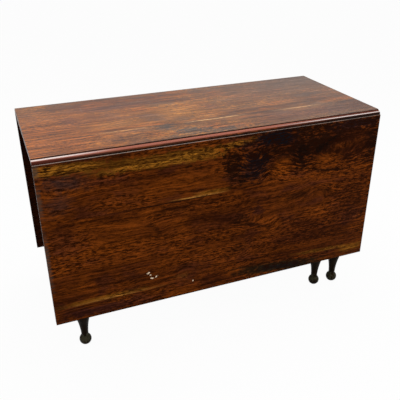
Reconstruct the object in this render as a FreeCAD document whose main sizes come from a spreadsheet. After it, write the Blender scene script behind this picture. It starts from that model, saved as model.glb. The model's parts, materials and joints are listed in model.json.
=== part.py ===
import FreeCAD, Part
import math
import os

import Sketcher
from FreeCAD import Placement, Rotation, Vector

# Drop-leaf table with four turned corner legs and two gate legs that swing on wooden knuckles.
# X runs along the table, Y across it with the front leaf at -Y, and Z is up from the floor.
# The back half repeats the front half, turned half round about the middle of the table.

SIZES = {
    # Top and leaves
    "table_length": 1200,
    "table_height": 727,
    "top_flat_width": 506,
    "top_front_board_width": 137,
    "board_thickness": 19,
    "leaf_depth": 572,
    "leaf_upper_board_depth": 196,
    # Rule joint between the top and a leaf
    "axis_depth": 16,
    "rule_step": 4,
    "rule_gap": 0.5,
    # Legs
    "end_overhang": 67,
    "leg_block": 50,
    "leaf_leg_gap": 2,
    "block_drop": 32,
    "foot_pad_radius": 11,
    "foot_radius": 21,
    "ankle_radius": 12.2,
    "ankle_height": 41,
    "vase_radius": 24.5,
    "vase_height": 140,
    "vase_swell": 2,
    "shoulder_drop": 26,
    "shoulder_step": 1,
    "shoulder_swell": 0.6,
    "ankle_hollow": 2.4,
    "neck_radius": 16.5,
    "bead_height": 14,
    "bead_bulge": 5,
    "cove_height": 42,
    "cove_hollow": 4,
    "collar_radius": 24.5,
    "collar_height": 12,
    "throat_radius": 21,
    "throat_height": 18,
    "throat_hollow": 2,
    "pommel_rise": 9,
    "pommel_swell": 1.5,
    # Rails
    "rail_height": 120,
    "rail_thickness": 20,
    "rail_inset": 7,
    "rail_gap": 1,
    "end_rail_inset": 4,
    "cross_rail_drop": 25,
    "housing_depth": 6,
    # Mortise and tenon joints with pegs
    "tenon_thickness": 9,
    "tenon_length": 26,
    "tenon_shoulder": 14,
    "joint_clear": 0.2,
    "peg_radius": 3,
    "peg_inset": 13,
    "peg_rise": 34,
    "peg_depth": 40,
    "end_peg_depth": 20,
    "peg_clear": 0.1,
    # Gates and their wooden knuckle joints
    "gate_set_back": 6,
    "gate_leg_gap": 30,
    "knuckle_from_middle": 28,
    "rail_screw_inset": 60,
    "gate_headroom": 1.5,
    "rebate_clear": 0.5,
    "knuckle_clear": 0.6,
    "finger_gap": 0.4,
    "knuckle_pin_radius": 3,
    "pin_clear": 0.05,
    "stop_length": 60,
    "stop_height": 24,
    "stop_thickness": 12,
    # Leaf hinges
    "hinge_inset": 180,
    "hinge_width": 40,
    "flap_thickness": 2,
    "top_flap_reach": 36,
    "leaf_flap_reach": 66,
    "barrel_radius": 4,
    "barrel_middle": 16,
    "barrel_gap": 0.3,
    "hinge_pin_radius": 1.5,
    "hinge_clear": 0.4,
    "screw_spread": 12,
    "top_screw_near": 14,
    "top_screw_far": 28,
    "leaf_screw_near": 26,
    "leaf_screw_far": 54,
    # Countersunk wood screws
    "flap_screw_radius": 1.8,
    "flap_screw_head": 3.4,
    "flap_screw_length": 12,
    "wood_screw_radius": 2.2,
    "wood_screw_head": 4.4,
    "wood_screw_length": 32,
    "screw_clear": 0.1,
    # Glue blocks under the top
    "glue_block_length": 60,
    "glue_block_side": 22,
    "glue_block_inset": 193,
}

FINGERS = 5
LEVELS = range(FINGERS)
OVERCUT = "1"
HINGE_PLACES = (-1, 0, 1)

doc = FreeCAD.newDocument("DropLeafTable")
sheet = doc.addObject("Spreadsheet::Sheet", "Sizes")
for row, (alias, size) in enumerate(SIZES.items(), start=1):
    sheet.set(f"A{row}", alias)
    sheet.set(f"B{row}", str(size))
    sheet.setAlias(f"B{row}", alias)
doc.recompute()

# Places worked out from the sizes
AXIS_Y = "(Sizes.top_flat_width / 2)"
AXIS_Z = "(Sizes.table_height - Sizes.axis_depth)"
UNDER_Z = "(Sizes.table_height - Sizes.board_thickness)"
AXIS_RISE = "(Sizes.board_thickness - Sizes.axis_depth)"
ROUND = "(Sizes.axis_depth - Sizes.rule_step)"
COVE = f"({ROUND} + Sizes.rule_gap)"
COVE_LIP = f"(sqrt({COVE} ^ 2 - Sizes.rule_gap ^ 2))"
TOP_JOINT_Y = f"({AXIS_Y} - Sizes.top_front_board_width)"
HALF_BLOCK = "(Sizes.leg_block / 2)"
LEG_X = f"(Sizes.table_length / 2 - Sizes.end_overhang - {HALF_BLOCK})"
LEG_Y = f"({AXIS_Y} - {AXIS_RISE} - Sizes.leaf_leg_gap - {HALF_BLOCK})"
RAIL_Z = f"({UNDER_Z} - Sizes.rail_height)"
BLOCK_Z = f"({RAIL_Z} - Sizes.block_drop)"
FLY_Y = f"({LEG_Y} + {HALF_BLOCK} - Sizes.rail_inset - Sizes.rail_thickness / 2)"
SIDE_RAIL_Y = f"({FLY_Y} - Sizes.rail_thickness - Sizes.rail_gap)"
SIDE_RAIL_FACE = f"({SIDE_RAIL_Y} - Sizes.rail_thickness / 2)"
END_RAIL_X = f"({LEG_X} + {HALF_BLOCK} - Sizes.end_rail_inset - Sizes.rail_thickness / 2)"
END_RAIL_FACE = f"({END_RAIL_X} - Sizes.rail_thickness / 2)"
GATE_X = f"({LEG_X} - Sizes.leg_block - Sizes.gate_leg_gap)"
GATE_Y = f"({LEG_Y} - Sizes.gate_set_back)"
PIN_X = "Sizes.knuckle_from_middle"
GATE_REACH = f"({GATE_X} - {PIN_X})"
HINGE_RAIL = f"({PIN_X} + {LEG_X} - {HALF_BLOCK})"
GATE_RAIL_HEIGHT = "(Sizes.rail_height - Sizes.gate_headroom)"
FINGER = f"({GATE_RAIL_HEIGHT} / {FINGERS})"
KNUCKLE = "(Sizes.rail_thickness / 2)"
SLOT = f"({KNUCKLE} + Sizes.knuckle_clear)"
MIDDLE = "(Sizes.barrel_middle / 2 + Sizes.barrel_gap)"
BARREL_SPACE = "(Sizes.barrel_radius + Sizes.hinge_clear)"
LEAF_BOTTOM = "(Sizes.rule_gap + Sizes.leaf_depth)"
LEAF_JOINT = "(Sizes.rule_gap + Sizes.leaf_upper_board_depth)"
CROSS_HEIGHT = "(Sizes.rail_height - Sizes.cross_rail_drop)"
HINGE_XS = [f"({place} * (Sizes.table_length / 2 - Sizes.hinge_inset))" for place in HINGE_PLACES]
PEG_RISES = ["Sizes.peg_rise", "(Sizes.rail_height - Sizes.peg_rise)"]
BLOCK_XS = [f"({place} * ({LEG_X} - {HALF_BLOCK} - Sizes.glue_block_inset))" for place in (-1, 1)]
SIDE_BLOCK_Y = f"({SIDE_RAIL_FACE} - Sizes.glue_block_side / 2)"
END_BLOCK_X = f"({END_RAIL_FACE} - Sizes.glue_block_side / 2)"
RAIL_SCREW_XS = [
    "(-Sizes.rail_screw_inset)",
    f"(-{HINGE_RAIL} / 2)",
    f"(Sizes.rail_screw_inset - {HINGE_RAIL})",
]
RAIL_SCREW_Z = f"({GATE_RAIL_HEIGHT} / 2)"


def number(formula):
    """Work out a formula of the sheet's sizes."""
    return float(sheet.evalExpression(str(formula)))


def new_body(label):
    """Start a named sub-part."""
    body = doc.addObject("PartDesign::Body", label)
    body.Label = label
    return body


def sketch_on(body, role, lift=None):
    """Lay a sketch on one of the body's own planes, lifted along the plane's normal."""
    sketch = body.newObject("Sketcher::SketchObject", "Sketch")
    plane = next(datum for datum in body.Origin.OriginFeatures if datum.Role == role)
    sketch.AttachmentSupport = [(plane, "")]
    sketch.MapMode = "FlatFace"
    if lift is not None:
        sketch.setExpression("AttachmentOffset.Base.z", lift)
    return sketch


def tie(sketch, kind, place, formula):
    """Add one dimension and bind it to its formula."""
    index = sketch.addConstraint(Sketcher.Constraint(kind, *place, number(formula)))
    sketch.setExpression(f"Constraints[{index}]", str(formula))


def arc_between(start, end, radius, leftward):
    """Make the short arc from start to end that turns left or right on its way."""
    chord = end - start
    reach = math.sqrt(max(radius ** 2 - (chord.Length / 2) ** 2, 0))
    across = Vector(-chord.y, chord.x, 0).normalize()
    centre = (start + end) * 0.5 + across * (reach if leftward else -reach)
    first, last = (start, end) if leftward else (end, start)
    angles = [math.atan2(spot.y - centre.y, spot.x - centre.x) for spot in (first, last)]
    return Part.ArcOfCircle(Part.Circle(centre, Vector(0, 0, 1), radius), *angles)


def outline(sketch, corners):
    """Close a loop of lines; a corner with a radius and a turn starts an arc to the next corner."""
    spots = [Vector(number(corner[0]), number(corner[1]), 0) for corner in corners]
    edges = []
    for corner, start, end in zip(corners, spots, spots[1:] + spots[:1]):
        if len(corner) == 2:
            edges.append((sketch.addGeometry(Part.LineSegment(start, end)), 1, 2))
        else:
            leftward = corner[3] == "left"
            arc = sketch.addGeometry(arc_between(start, end, number(corner[2]), leftward))
            edges.append((arc, 1, 2) if leftward else (arc, 2, 1))
    for edge, following in zip(edges, edges[1:] + edges[:1]):
        sketch.addConstraint(Sketcher.Constraint("Coincident", edge[0], edge[2], following[0], following[1]))
    for corner, edge in zip(corners, edges):
        tie(sketch, "DistanceX", (-1, 1, edge[0], edge[1]), corner[0])
        tie(sketch, "DistanceY", (-1, 1, edge[0], edge[1]), corner[1])
        if len(corner) > 2:
            tie(sketch, "Radius", (edge[0],), corner[2])


def rectangle(sketch, left, right, bottom, top):
    """Draw a rectangle between four formulas."""
    outline(sketch, [(left, bottom), (right, bottom), (right, top), (left, top)])


def circle(sketch, across, along, radius):
    """Draw a circle at a place given by formulas."""
    spot = Vector(number(across), number(along), 0)
    index = sketch.addGeometry(Part.Circle(spot, Vector(0, 0, 1), number(radius)))
    tie(sketch, "DistanceX", (-1, 1, index, 3), across)
    tie(sketch, "DistanceY", (-1, 1, index, 3), along)
    tie(sketch, "Radius", (index,), radius)


def extrude(body, kind, sketch, length, both_ways=False):
    """Pad or pocket a sketch, along its normal or equally both ways."""
    feature = body.newObject(f"PartDesign::{kind}", kind)
    feature.Profile = sketch
    feature.setExpression("Length", length)
    if both_ways:
        feature.SideType = "Symmetric"
    return feature


def revolve(body, kind, sketch):
    """Turn a sketch full round its own upright axis, to add or to cut away."""
    feature = body.newObject(f"PartDesign::{kind}", kind)
    feature.Profile = sketch
    feature.ReferenceAxis = (sketch, ["V_Axis"])
    feature.Angle = 360


def drill(body, role, lift, spots, radius, depth):
    """Drill blind holes from a face: the cut reaches the same depth on both sides of that face."""
    sketch = sketch_on(body, role, lift)
    for across, along in spots:
        circle(sketch, across, along, radius)
    extrude(body, "Pocket", sketch, f"2 * ({depth})", both_ways=True)


def countersink(body, role, lift, spots, head, shank, reverse):
    """Cut cones for flush screw heads into a face."""
    sketch = sketch_on(body, role, lift)
    for across, along in spots:
        circle(sketch, across, along, head)
    cone = extrude(body, "Pocket", sketch, f"{head} - {shank}")
    cone.TaperAngle = -45
    cone.Reversed = reverse


def seat(piece, across, along, rise, turned):
    """Place a piece at the front, or turn it half round to the back."""
    sign = -1 if turned else 1
    piece.Placement = Placement(Vector(), Rotation(Vector(0, 0, 1), 180 if turned else 0))
    piece.setExpression("Placement.Base.x", f"{sign} * ({across})")
    piece.setExpression("Placement.Base.y", f"{sign} * ({along})")
    piece.setExpression("Placement.Base.z", str(rise))


def bulged(start, end, bulge):
    """Give the radius of an arc between two corners that stands out from their chord by a bulge."""
    return f"((({end[0]} - {start[0]}) ^ 2 + ({end[1]} - {start[1]}) ^ 2) / (8 * {bulge}) + {bulge} / 2)"


def flap_screw_spots(near, far):
    """List where the three screws of a hinge flap stand, from the hinge's middle."""
    return [("-Sizes.screw_spread", near), ("Sizes.screw_spread", near), ("0", far)]


TOP_SCREWS = flap_screw_spots("Sizes.top_screw_near", "Sizes.top_screw_far")
LEAF_SCREWS = flap_screw_spots("-Sizes.leaf_screw_near", "-Sizes.leaf_screw_far")


def top_board(label, inner_edge, block_screws, turned):
    """Make a board of the fixed top with the round of the rule joint along its outer edge."""
    body = new_body(label)
    outer = f"(-{AXIS_Y} - {ROUND})"
    section = sketch_on(body, "YZ_Plane")
    outline(section, [
        (f"-{AXIS_Y}", "Sizes.board_thickness"),
        (f"-{AXIS_Y}", f"{AXIS_RISE} + {ROUND}", ROUND, "left"),
        (outer, AXIS_RISE),
        (outer, "0"),
        (inner_edge, "0"),
        (inner_edge, "Sizes.board_thickness"),
    ])
    extrude(body, "Pad", section, "Sizes.table_length", both_ways=True)
    half = "(Sizes.hinge_width / 2 + Sizes.hinge_clear)"
    gains = (
        (f"-{AXIS_Y}", f"-{AXIS_Y} + Sizes.top_flap_reach + Sizes.hinge_clear", "Sizes.flap_thickness"),
        (f"{outer} - {OVERCUT}", f"-{AXIS_Y} + {BARREL_SPACE}", "Sizes.flap_thickness + Sizes.hinge_clear"),
        (f"-{AXIS_Y} - {BARREL_SPACE}", f"-{AXIS_Y} + {BARREL_SPACE}", f"{AXIS_RISE} + {BARREL_SPACE}"),
    )
    for near, far, depth in gains:
        gain = sketch_on(body, "XY_Plane")
        for hinge in HINGE_XS:
            rectangle(gain, f"{hinge} - {half}", f"{hinge} + {half}", near, far)
        extrude(body, "Pocket", gain, f"2 * ({depth})", both_ways=True)
    flap_holes = [
        (f"{hinge} + {across}", f"-{AXIS_Y} + {along}") for hinge in HINGE_XS for across, along in TOP_SCREWS
    ]
    flap_hole = "Sizes.flap_screw_radius + Sizes.screw_clear"
    drill(body, "XY_Plane", None, flap_holes, flap_hole, "Sizes.flap_screw_length + Sizes.screw_clear")
    block_hole = "Sizes.wood_screw_radius + Sizes.screw_clear"
    block_depth = "Sizes.wood_screw_length - Sizes.glue_block_side + Sizes.screw_clear"
    drill(body, "XY_Plane", None, block_screws, block_hole, block_depth)
    seat(body, "0", "0", UNDER_Z, turned)


def leaf_upper_board(label, turned):
    """Make the board of a leaf that carries the cove of the rule joint and the hinge gains."""
    body = new_body(label)
    section = sketch_on(body, "YZ_Plane")
    outline(section, [
        ("-Sizes.axis_depth", "-Sizes.rule_gap"),
        ("-Sizes.axis_depth", f"-{LEAF_JOINT}"),
        (AXIS_RISE, f"-{LEAF_JOINT}"),
        (AXIS_RISE, f"-{COVE}"),
        ("0", f"-{COVE}", COVE, "right"),
        (f"-{COVE_LIP}", "-Sizes.rule_gap"),
    ])
    extrude(body, "Pad", section, "Sizes.table_length", both_ways=True)
    half = "(Sizes.hinge_width / 2 + Sizes.hinge_clear)"
    gain = sketch_on(body, "XZ_Plane", f"-{AXIS_RISE}")
    for hinge in HINGE_XS:
        low = "-Sizes.leaf_flap_reach - Sizes.hinge_clear"
        rectangle(gain, f"{hinge} - {half}", f"{hinge} + {half}", low, f"-{COVE} + {OVERCUT}")
    extrude(body, "Pocket", gain, "2 * Sizes.flap_thickness", both_ways=True)
    holes = [(f"{hinge} + {across}", along) for hinge in HINGE_XS for across, along in LEAF_SCREWS]
    hole = "Sizes.flap_screw_radius + Sizes.screw_clear"
    drill(body, "XZ_Plane", f"-{AXIS_RISE}", holes, hole, "Sizes.flap_screw_length + Sizes.screw_clear")
    seat(body, "0", f"-{AXIS_Y}", AXIS_Z, turned)


def leaf_lower_board(label, turned):
    """Make the wide lower board of a leaf."""
    body = new_body(label)
    section = sketch_on(body, "YZ_Plane")
    rectangle(section, "-Sizes.axis_depth", AXIS_RISE, f"-{LEAF_BOTTOM}", f"-{LEAF_JOINT}")
    extrude(body, "Pad", section, "Sizes.table_length", both_ways=True)
    seat(body, "0", f"-{AXIS_Y}", AXIS_Z, turned)


def leaf_stop(label, turned):
    """Make the block under a leaf that halts the open gate leg square to the frame."""
    body = new_body(label)
    plan = sketch_on(body, "XY_Plane")
    half = "(Sizes.stop_length / 2)"
    rectangle(plan, f"-{half}", half, "0", "Sizes.stop_thickness")
    extrude(body, "Pad", plan, "Sizes.stop_height", both_ways=True)
    across = f"{PIN_X} - {HALF_BLOCK} - {half}"
    out = f"({FLY_Y} + {GATE_REACH} - {AXIS_Y})"
    seat(body, across, f"-{AXIS_Y} + {AXIS_RISE}", f"{AXIS_Z} - {out}", turned)


def turned_leg(body):
    """Turn a leg from its ball foot up to the square block at its head."""
    ball_low = "sqrt(Sizes.foot_radius ^ 2 - Sizes.foot_pad_radius ^ 2)"
    ball_high = "sqrt(Sizes.foot_radius ^ 2 - Sizes.ankle_radius ^ 2)"
    ankle_low = ("Sizes.ankle_radius", f"({ball_low} + {ball_high})")
    ankle = ("Sizes.ankle_radius", "Sizes.ankle_height")
    shoulder = ("(Sizes.vase_radius - Sizes.shoulder_step)", "(Sizes.vase_height - Sizes.shoulder_drop)")
    vase = ("Sizes.vase_radius", "Sizes.vase_height")
    throat_low = f"({BLOCK_Z} - Sizes.throat_height)"
    collar_low = f"({throat_low} - Sizes.collar_height)"
    cove_low = f"({collar_low} - Sizes.cove_height)"
    bead_low = f"({cove_low} - Sizes.bead_height)"
    neck = ("Sizes.neck_radius", bead_low)
    bead_top = ("Sizes.neck_radius", cove_low)
    cove_top = ("Sizes.throat_radius", collar_low)
    collar = ("Sizes.collar_radius", collar_low)
    collar_top = ("Sizes.collar_radius", throat_low)
    throat = ("Sizes.throat_radius", BLOCK_Z)
    profile = sketch_on(body, "XZ_Plane")
    outline(profile, [
        ("0", "0"),
        ("Sizes.foot_pad_radius", "0", "Sizes.foot_radius", "left"),
        ankle_low,
        (*ankle, bulged(ankle, shoulder, "Sizes.ankle_hollow"), "right"),
        (*shoulder, bulged(shoulder, vase, "Sizes.shoulder_swell"), "left"),
        (*vase, bulged(vase, neck, "Sizes.vase_swell"), "left"),
        (*neck, bulged(neck, bead_top, "Sizes.bead_bulge"), "left"),
        (*bead_top, bulged(bead_top, cove_top, "Sizes.cove_hollow"), "right"),
        cove_top,
        collar,
        (*collar_top, bulged(collar_top, throat, "Sizes.throat_hollow"), "right"),
        throat,
        ("Sizes.throat_radius", f"{BLOCK_Z} + Sizes.pommel_rise"),
        ("0", f"{BLOCK_Z} + Sizes.pommel_rise"),
    ])
    revolve(body, "Revolution", profile)


def leg_block(body, height):
    """Add the square block at the head of a leg, its lower corners rounded on the lathe."""
    square = sketch_on(body, "XY_Plane", BLOCK_Z)
    rectangle(square, f"-{HALF_BLOCK}", HALF_BLOCK, f"-{HALF_BLOCK}", HALF_BLOCK)
    extrude(body, "Pad", square, height)
    pommel_low = (HALF_BLOCK, BLOCK_Z)
    pommel_high = (f"(Sizes.leg_block * sqrt(2) / 2 + {OVERCUT})", f"({BLOCK_Z} + Sizes.pommel_rise)")
    corners = sketch_on(body, "XZ_Plane")
    outline(corners, [
        (*pommel_low, bulged(pommel_low, pommel_high, "Sizes.pommel_swell"), "left"),
        pommel_high,
        (pommel_high[0], f"{BLOCK_Z} - {OVERCUT}"),
        (HALF_BLOCK, f"{BLOCK_Z} - {OVERCUT}"),
    ])
    revolve(body, "Groove", corners)


def mortise(body, role, lift, middle, low, high):
    """Cut a mortise into the block from the face at the given lift."""
    half = "(Sizes.tenon_thickness / 2 + Sizes.joint_clear)"
    hole = sketch_on(body, role, lift)
    rectangle(hole, f"{middle} - {half}", f"{middle} + {half}", low, high)
    extrude(body, "Pocket", hole, f"2 * (Sizes.tenon_length + {OVERCUT})", both_ways=True)


MORTISE_LOW = f"({RAIL_Z} + Sizes.tenon_shoulder - Sizes.joint_clear)"
MORTISE_HIGH = f"({UNDER_Z} - Sizes.tenon_shoulder + Sizes.joint_clear)"
PEG_HOLE = "Sizes.peg_radius + Sizes.peg_clear"
PEG_FROM_FACE = f"({HALF_BLOCK} - Sizes.peg_inset)"


def corner_leg(label, hand, turned):
    """Make a corner leg; hand is 1 for the leg on the right of its side and -1 on the left."""
    body = new_body(label)
    turned_leg(body)
    leg_block(body, f"{UNDER_Z} - {BLOCK_Z}")
    side_middle = f"({LEG_Y} - {SIDE_RAIL_Y})"
    end_middle = f"({hand} * ({END_RAIL_X} - {LEG_X}))"
    mortise(body, "YZ_Plane", f"{-hand} * {HALF_BLOCK}", side_middle, MORTISE_LOW, MORTISE_HIGH)
    mortise(body, "XZ_Plane", f"-{HALF_BLOCK}", end_middle, MORTISE_LOW, MORTISE_HIGH)
    side_pegs = [(f"{-hand} * {PEG_FROM_FACE}", f"{RAIL_Z} + {rise}") for rise in PEG_RISES]
    end_pegs = [(PEG_FROM_FACE, f"{RAIL_Z} + {rise}") for rise in PEG_RISES]
    drill(body, "XZ_Plane", HALF_BLOCK, side_pegs, PEG_HOLE, "Sizes.peg_depth + Sizes.peg_clear")
    end_depth = "Sizes.end_peg_depth + Sizes.peg_clear"
    drill(body, "YZ_Plane", f"{hand} * {HALF_BLOCK}", end_pegs, PEG_HOLE, end_depth)
    seat(body, f"{hand} * {LEG_X}", f"-{LEG_Y}", "0", turned)


def tenons(body, left, right, low, high, pegs):
    """Add tenons through a rail from left to right and bore them for their pegs."""
    cheek = sketch_on(body, "XZ_Plane")
    rectangle(cheek, left, right, low, high)
    extrude(body, "Pad", cheek, "Sizes.tenon_thickness", both_ways=True)
    drill(body, "XZ_Plane", None, pegs, PEG_HOLE, "Sizes.rail_thickness")


def side_rail(label, turned):
    """Make the inner rail between two corner legs, housed for the cross rail."""
    body = new_body(label)
    half = f"({LEG_X} - {HALF_BLOCK})"
    tip = f"({half} + Sizes.tenon_length)"
    face = sketch_on(body, "XZ_Plane")
    rectangle(face, f"-{half}", half, "0", "Sizes.rail_height")
    extrude(body, "Pad", face, "Sizes.rail_thickness", both_ways=True)
    peg_reach = f"({half} + Sizes.peg_inset)"
    pegs = [(f"{side} * {peg_reach}", rise) for side in (-1, 1) for rise in PEG_RISES]
    tenons(body, f"-{tip}", tip, "Sizes.tenon_shoulder", "Sizes.rail_height - Sizes.tenon_shoulder", pegs)
    inner_face = "-(Sizes.rail_thickness / 2)"
    housing = sketch_on(body, "XZ_Plane", inner_face)
    wide = "(Sizes.rail_thickness / 2 + Sizes.joint_clear)"
    low = "Sizes.cross_rail_drop - Sizes.joint_clear"
    rectangle(housing, f"-{wide}", wide, low, f"Sizes.rail_height + {OVERCUT}")
    extrude(body, "Pocket", housing, "2 * Sizes.housing_depth", both_ways=True)
    screws = [(f"{PIN_X} + {across}", RAIL_SCREW_Z) for across in RAIL_SCREW_XS]
    depth = "Sizes.wood_screw_length - Sizes.rail_thickness - Sizes.rail_gap + Sizes.screw_clear"
    hole = "Sizes.wood_screw_radius + Sizes.screw_clear"
    drill(body, "XZ_Plane", "Sizes.rail_thickness / 2", screws, hole, depth)
    seat(body, "0", f"-{SIDE_RAIL_Y}", RAIL_Z, turned)


def end_rail(label, turned):
    """Make the rail across one end of the frame."""
    body = new_body(label)
    half = f"({LEG_Y} - {HALF_BLOCK})"
    tip = f"({half} + Sizes.tenon_length)"
    high = "Sizes.rail_height - Sizes.tenon_shoulder"
    face = sketch_on(body, "YZ_Plane")
    rectangle(face, f"-{half}", half, "0", "Sizes.rail_height")
    extrude(body, "Pad", face, "Sizes.rail_thickness", both_ways=True)
    cheek = sketch_on(body, "YZ_Plane")
    rectangle(cheek, f"-{tip}", tip, "Sizes.tenon_shoulder", high)
    extrude(body, "Pad", cheek, "Sizes.tenon_thickness", both_ways=True)
    peg_reach = f"({half} + Sizes.peg_inset)"
    pegs = [(f"{side} * {peg_reach}", rise) for side in (-1, 1) for rise in PEG_RISES]
    drill(body, "YZ_Plane", None, pegs, PEG_HOLE, "Sizes.rail_thickness")
    seat(body, END_RAIL_X, "0", RAIL_Z, turned)


def cross_rail(label):
    """Make the rail that ties the side rails together at mid length."""
    body = new_body(label)
    half = f"({SIDE_RAIL_FACE} + Sizes.housing_depth - Sizes.joint_clear)"
    face = sketch_on(body, "YZ_Plane")
    rectangle(face, f"-{half}", half, "0", CROSS_HEIGHT)
    extrude(body, "Pad", face, "Sizes.rail_thickness", both_ways=True)
    seat(body, "0", "0", f"{RAIL_Z} + Sizes.cross_rail_drop", False)


def knuckle_slots(body, levels, left, right):
    """Cut the slots between the fingers of a wooden knuckle and bore it for the pin."""
    slots = sketch_on(body, "XZ_Plane")
    for level in levels:
        low = f"{level} * {FINGER} - Sizes.finger_gap"
        high = f"{level + 1} * {FINGER} + Sizes.finger_gap"
        rectangle(slots, left, right, low, high)
    extrude(body, "Pocket", slots, "2 * Sizes.rail_thickness", both_ways=True)
    bore = "Sizes.knuckle_pin_radius + Sizes.pin_clear"
    drill(body, "XY_Plane", None, [("0", "0")], bore, f"Sizes.rail_height + {OVERCUT}")


def hinge_rail(label, turned):
    """Make the fixed outer rail whose end carries the odd fingers of the wooden knuckle."""
    body = new_body(label)
    left = f"(-{HINGE_RAIL})"
    plan = sketch_on(body, "XY_Plane")
    outline(plan, [
        (left, f"-{KNUCKLE}"),
        ("0", f"-{KNUCKLE}", KNUCKLE, "left"),
        (KNUCKLE, "0", KNUCKLE, "left"),
        ("0", KNUCKLE),
        (left, KNUCKLE),
    ])
    extrude(body, "Pad", plan, GATE_RAIL_HEIGHT)
    knuckle_slots(body, LEVELS[1::2], f"-{SLOT}", f"{KNUCKLE} + {OVERCUT}")
    screws = [(across, RAIL_SCREW_Z) for across in RAIL_SCREW_XS]
    hole = "Sizes.wood_screw_radius + Sizes.screw_clear"
    drill(body, "XZ_Plane", None, screws, hole, "Sizes.rail_thickness")
    head = "Sizes.wood_screw_head"
    countersink(body, "XZ_Plane", KNUCKLE, screws, head, "Sizes.wood_screw_radius", False)
    seat(body, PIN_X, f"-{FLY_Y}", RAIL_Z, turned)


def fly_rail(label, turned):
    """Make the swinging rail from the even fingers of the knuckle to the gate leg."""
    body = new_body(label)
    right = f"({GATE_REACH} - {HALF_BLOCK})"
    plan = sketch_on(body, "XY_Plane")
    outline(plan, [
        (right, KNUCKLE),
        ("0", KNUCKLE, KNUCKLE, "left"),
        (f"-{KNUCKLE}", "0", KNUCKLE, "left"),
        ("0", f"-{KNUCKLE}"),
        (right, f"-{KNUCKLE}"),
    ])
    extrude(body, "Pad", plan, GATE_RAIL_HEIGHT)
    knuckle_slots(body, LEVELS[0::2], f"-{KNUCKLE} - {OVERCUT}", SLOT)
    pegs = [(f"{right} + Sizes.peg_inset", rise) for rise in PEG_RISES]
    high = "Sizes.rail_height - Sizes.tenon_shoulder"
    tenons(body, f"{right} - {OVERCUT}", f"{right} + Sizes.tenon_length", "Sizes.tenon_shoulder", high, pegs)
    seat(body, PIN_X, f"-{FLY_Y}", RAIL_Z, turned)


def gate_leg(label, turned):
    """Make a gate leg, its block rebated to close over the side rail."""
    body = new_body(label)
    turned_leg(body)
    leg_block(body, f"{UNDER_Z} - {BLOCK_Z} - Sizes.gate_headroom")
    rebate = sketch_on(body, "YZ_Plane")
    face = f"({GATE_Y} - {SIDE_RAIL_Y} - {KNUCKLE} - Sizes.rebate_clear)"
    low = f"{RAIL_Z} - Sizes.rebate_clear"
    rectangle(rebate, face, f"{HALF_BLOCK} + {OVERCUT}", low, f"{UNDER_Z} + {OVERCUT}")
    extrude(body, "Pocket", rebate, "2 * Sizes.leg_block", both_ways=True)
    mortise(body, "YZ_Plane", f"-{HALF_BLOCK}", f"({GATE_Y} - {FLY_Y})", MORTISE_LOW, MORTISE_HIGH)
    pegs = [(f"-{PEG_FROM_FACE}", f"{RAIL_Z} + {rise}") for rise in PEG_RISES]
    drill(body, "XZ_Plane", HALF_BLOCK, pegs, PEG_HOLE, "Sizes.leg_block")
    seat(body, GATE_X, f"-{GATE_Y}", "0", turned)


def barrel_and_bore(body, cuts):
    """Roll a hinge flap's barrel, cut away where the other flap's barrel goes, and bore it."""
    barrel = sketch_on(body, "YZ_Plane")
    circle(barrel, "0", "0", "Sizes.barrel_radius")
    extrude(body, "Pad", barrel, "Sizes.hinge_width", both_ways=True)
    gaps = sketch_on(body, "XZ_Plane")
    for left, right in cuts:
        rectangle(gaps, left, right, f"-{BARREL_SPACE}", BARREL_SPACE)
    extrude(body, "Pocket", gaps, f"2 * {BARREL_SPACE}", both_ways=True)
    bore = "Sizes.hinge_pin_radius + Sizes.pin_clear"
    drill(body, "YZ_Plane", None, [("0", "0")], bore, "Sizes.hinge_width")


def top_flap(label, hinge, turned):
    """Make the short flap of a leaf hinge, let in under the top."""
    body = new_body(label)
    half = "(Sizes.hinge_width / 2)"
    plate = sketch_on(body, "XY_Plane", f"-{AXIS_RISE}")
    rectangle(plate, f"-{half}", half, "0", "Sizes.top_flap_reach")
    extrude(body, "Pad", plate, "Sizes.flap_thickness")
    barrel_and_bore(body, [(f"-{MIDDLE}", MIDDLE)])
    hole = "Sizes.flap_screw_radius + Sizes.screw_clear"
    drill(body, "XY_Plane", f"-{AXIS_RISE}", TOP_SCREWS, hole, "2 * Sizes.flap_thickness")
    head = "Sizes.flap_screw_head"
    countersink(body, "XY_Plane", f"-{AXIS_RISE}", TOP_SCREWS, head, "Sizes.flap_screw_radius", True)
    seat(body, hinge, f"-{AXIS_Y}", AXIS_Z, turned)


def leaf_flap(label, hinge, turned):
    """Make the long flap of a leaf hinge, which crosses the cove and is let into the leaf."""
    body = new_body(label)
    half = "(Sizes.hinge_width / 2)"
    plate = sketch_on(body, "XZ_Plane", f"-{AXIS_RISE}")
    rectangle(plate, f"-{half}", half, "-Sizes.leaf_flap_reach", "0")
    extrude(body, "Pad", plate, "Sizes.flap_thickness")
    knuckle_edge = "(Sizes.barrel_middle / 2)"
    outside = f"({half} + {OVERCUT})"
    barrel_and_bore(body, [(f"-{outside}", f"-{knuckle_edge}"), (knuckle_edge, outside)])
    hole = "Sizes.flap_screw_radius + Sizes.screw_clear"
    drill(body, "XZ_Plane", f"-{AXIS_RISE}", LEAF_SCREWS, hole, "2 * Sizes.flap_thickness")
    head = "Sizes.flap_screw_head"
    countersink(body, "XZ_Plane", f"-{AXIS_RISE}", LEAF_SCREWS, head, "Sizes.flap_screw_radius", True)
    seat(body, hinge, f"-{AXIS_Y}", AXIS_Z, turned)


def rod(label, radius, height):
    """Make a plain pin."""
    pin = doc.addObject("Part::Cylinder", label)
    pin.Label = label
    pin.setExpression("Radius", radius)
    pin.setExpression("Height", height)
    return pin


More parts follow.
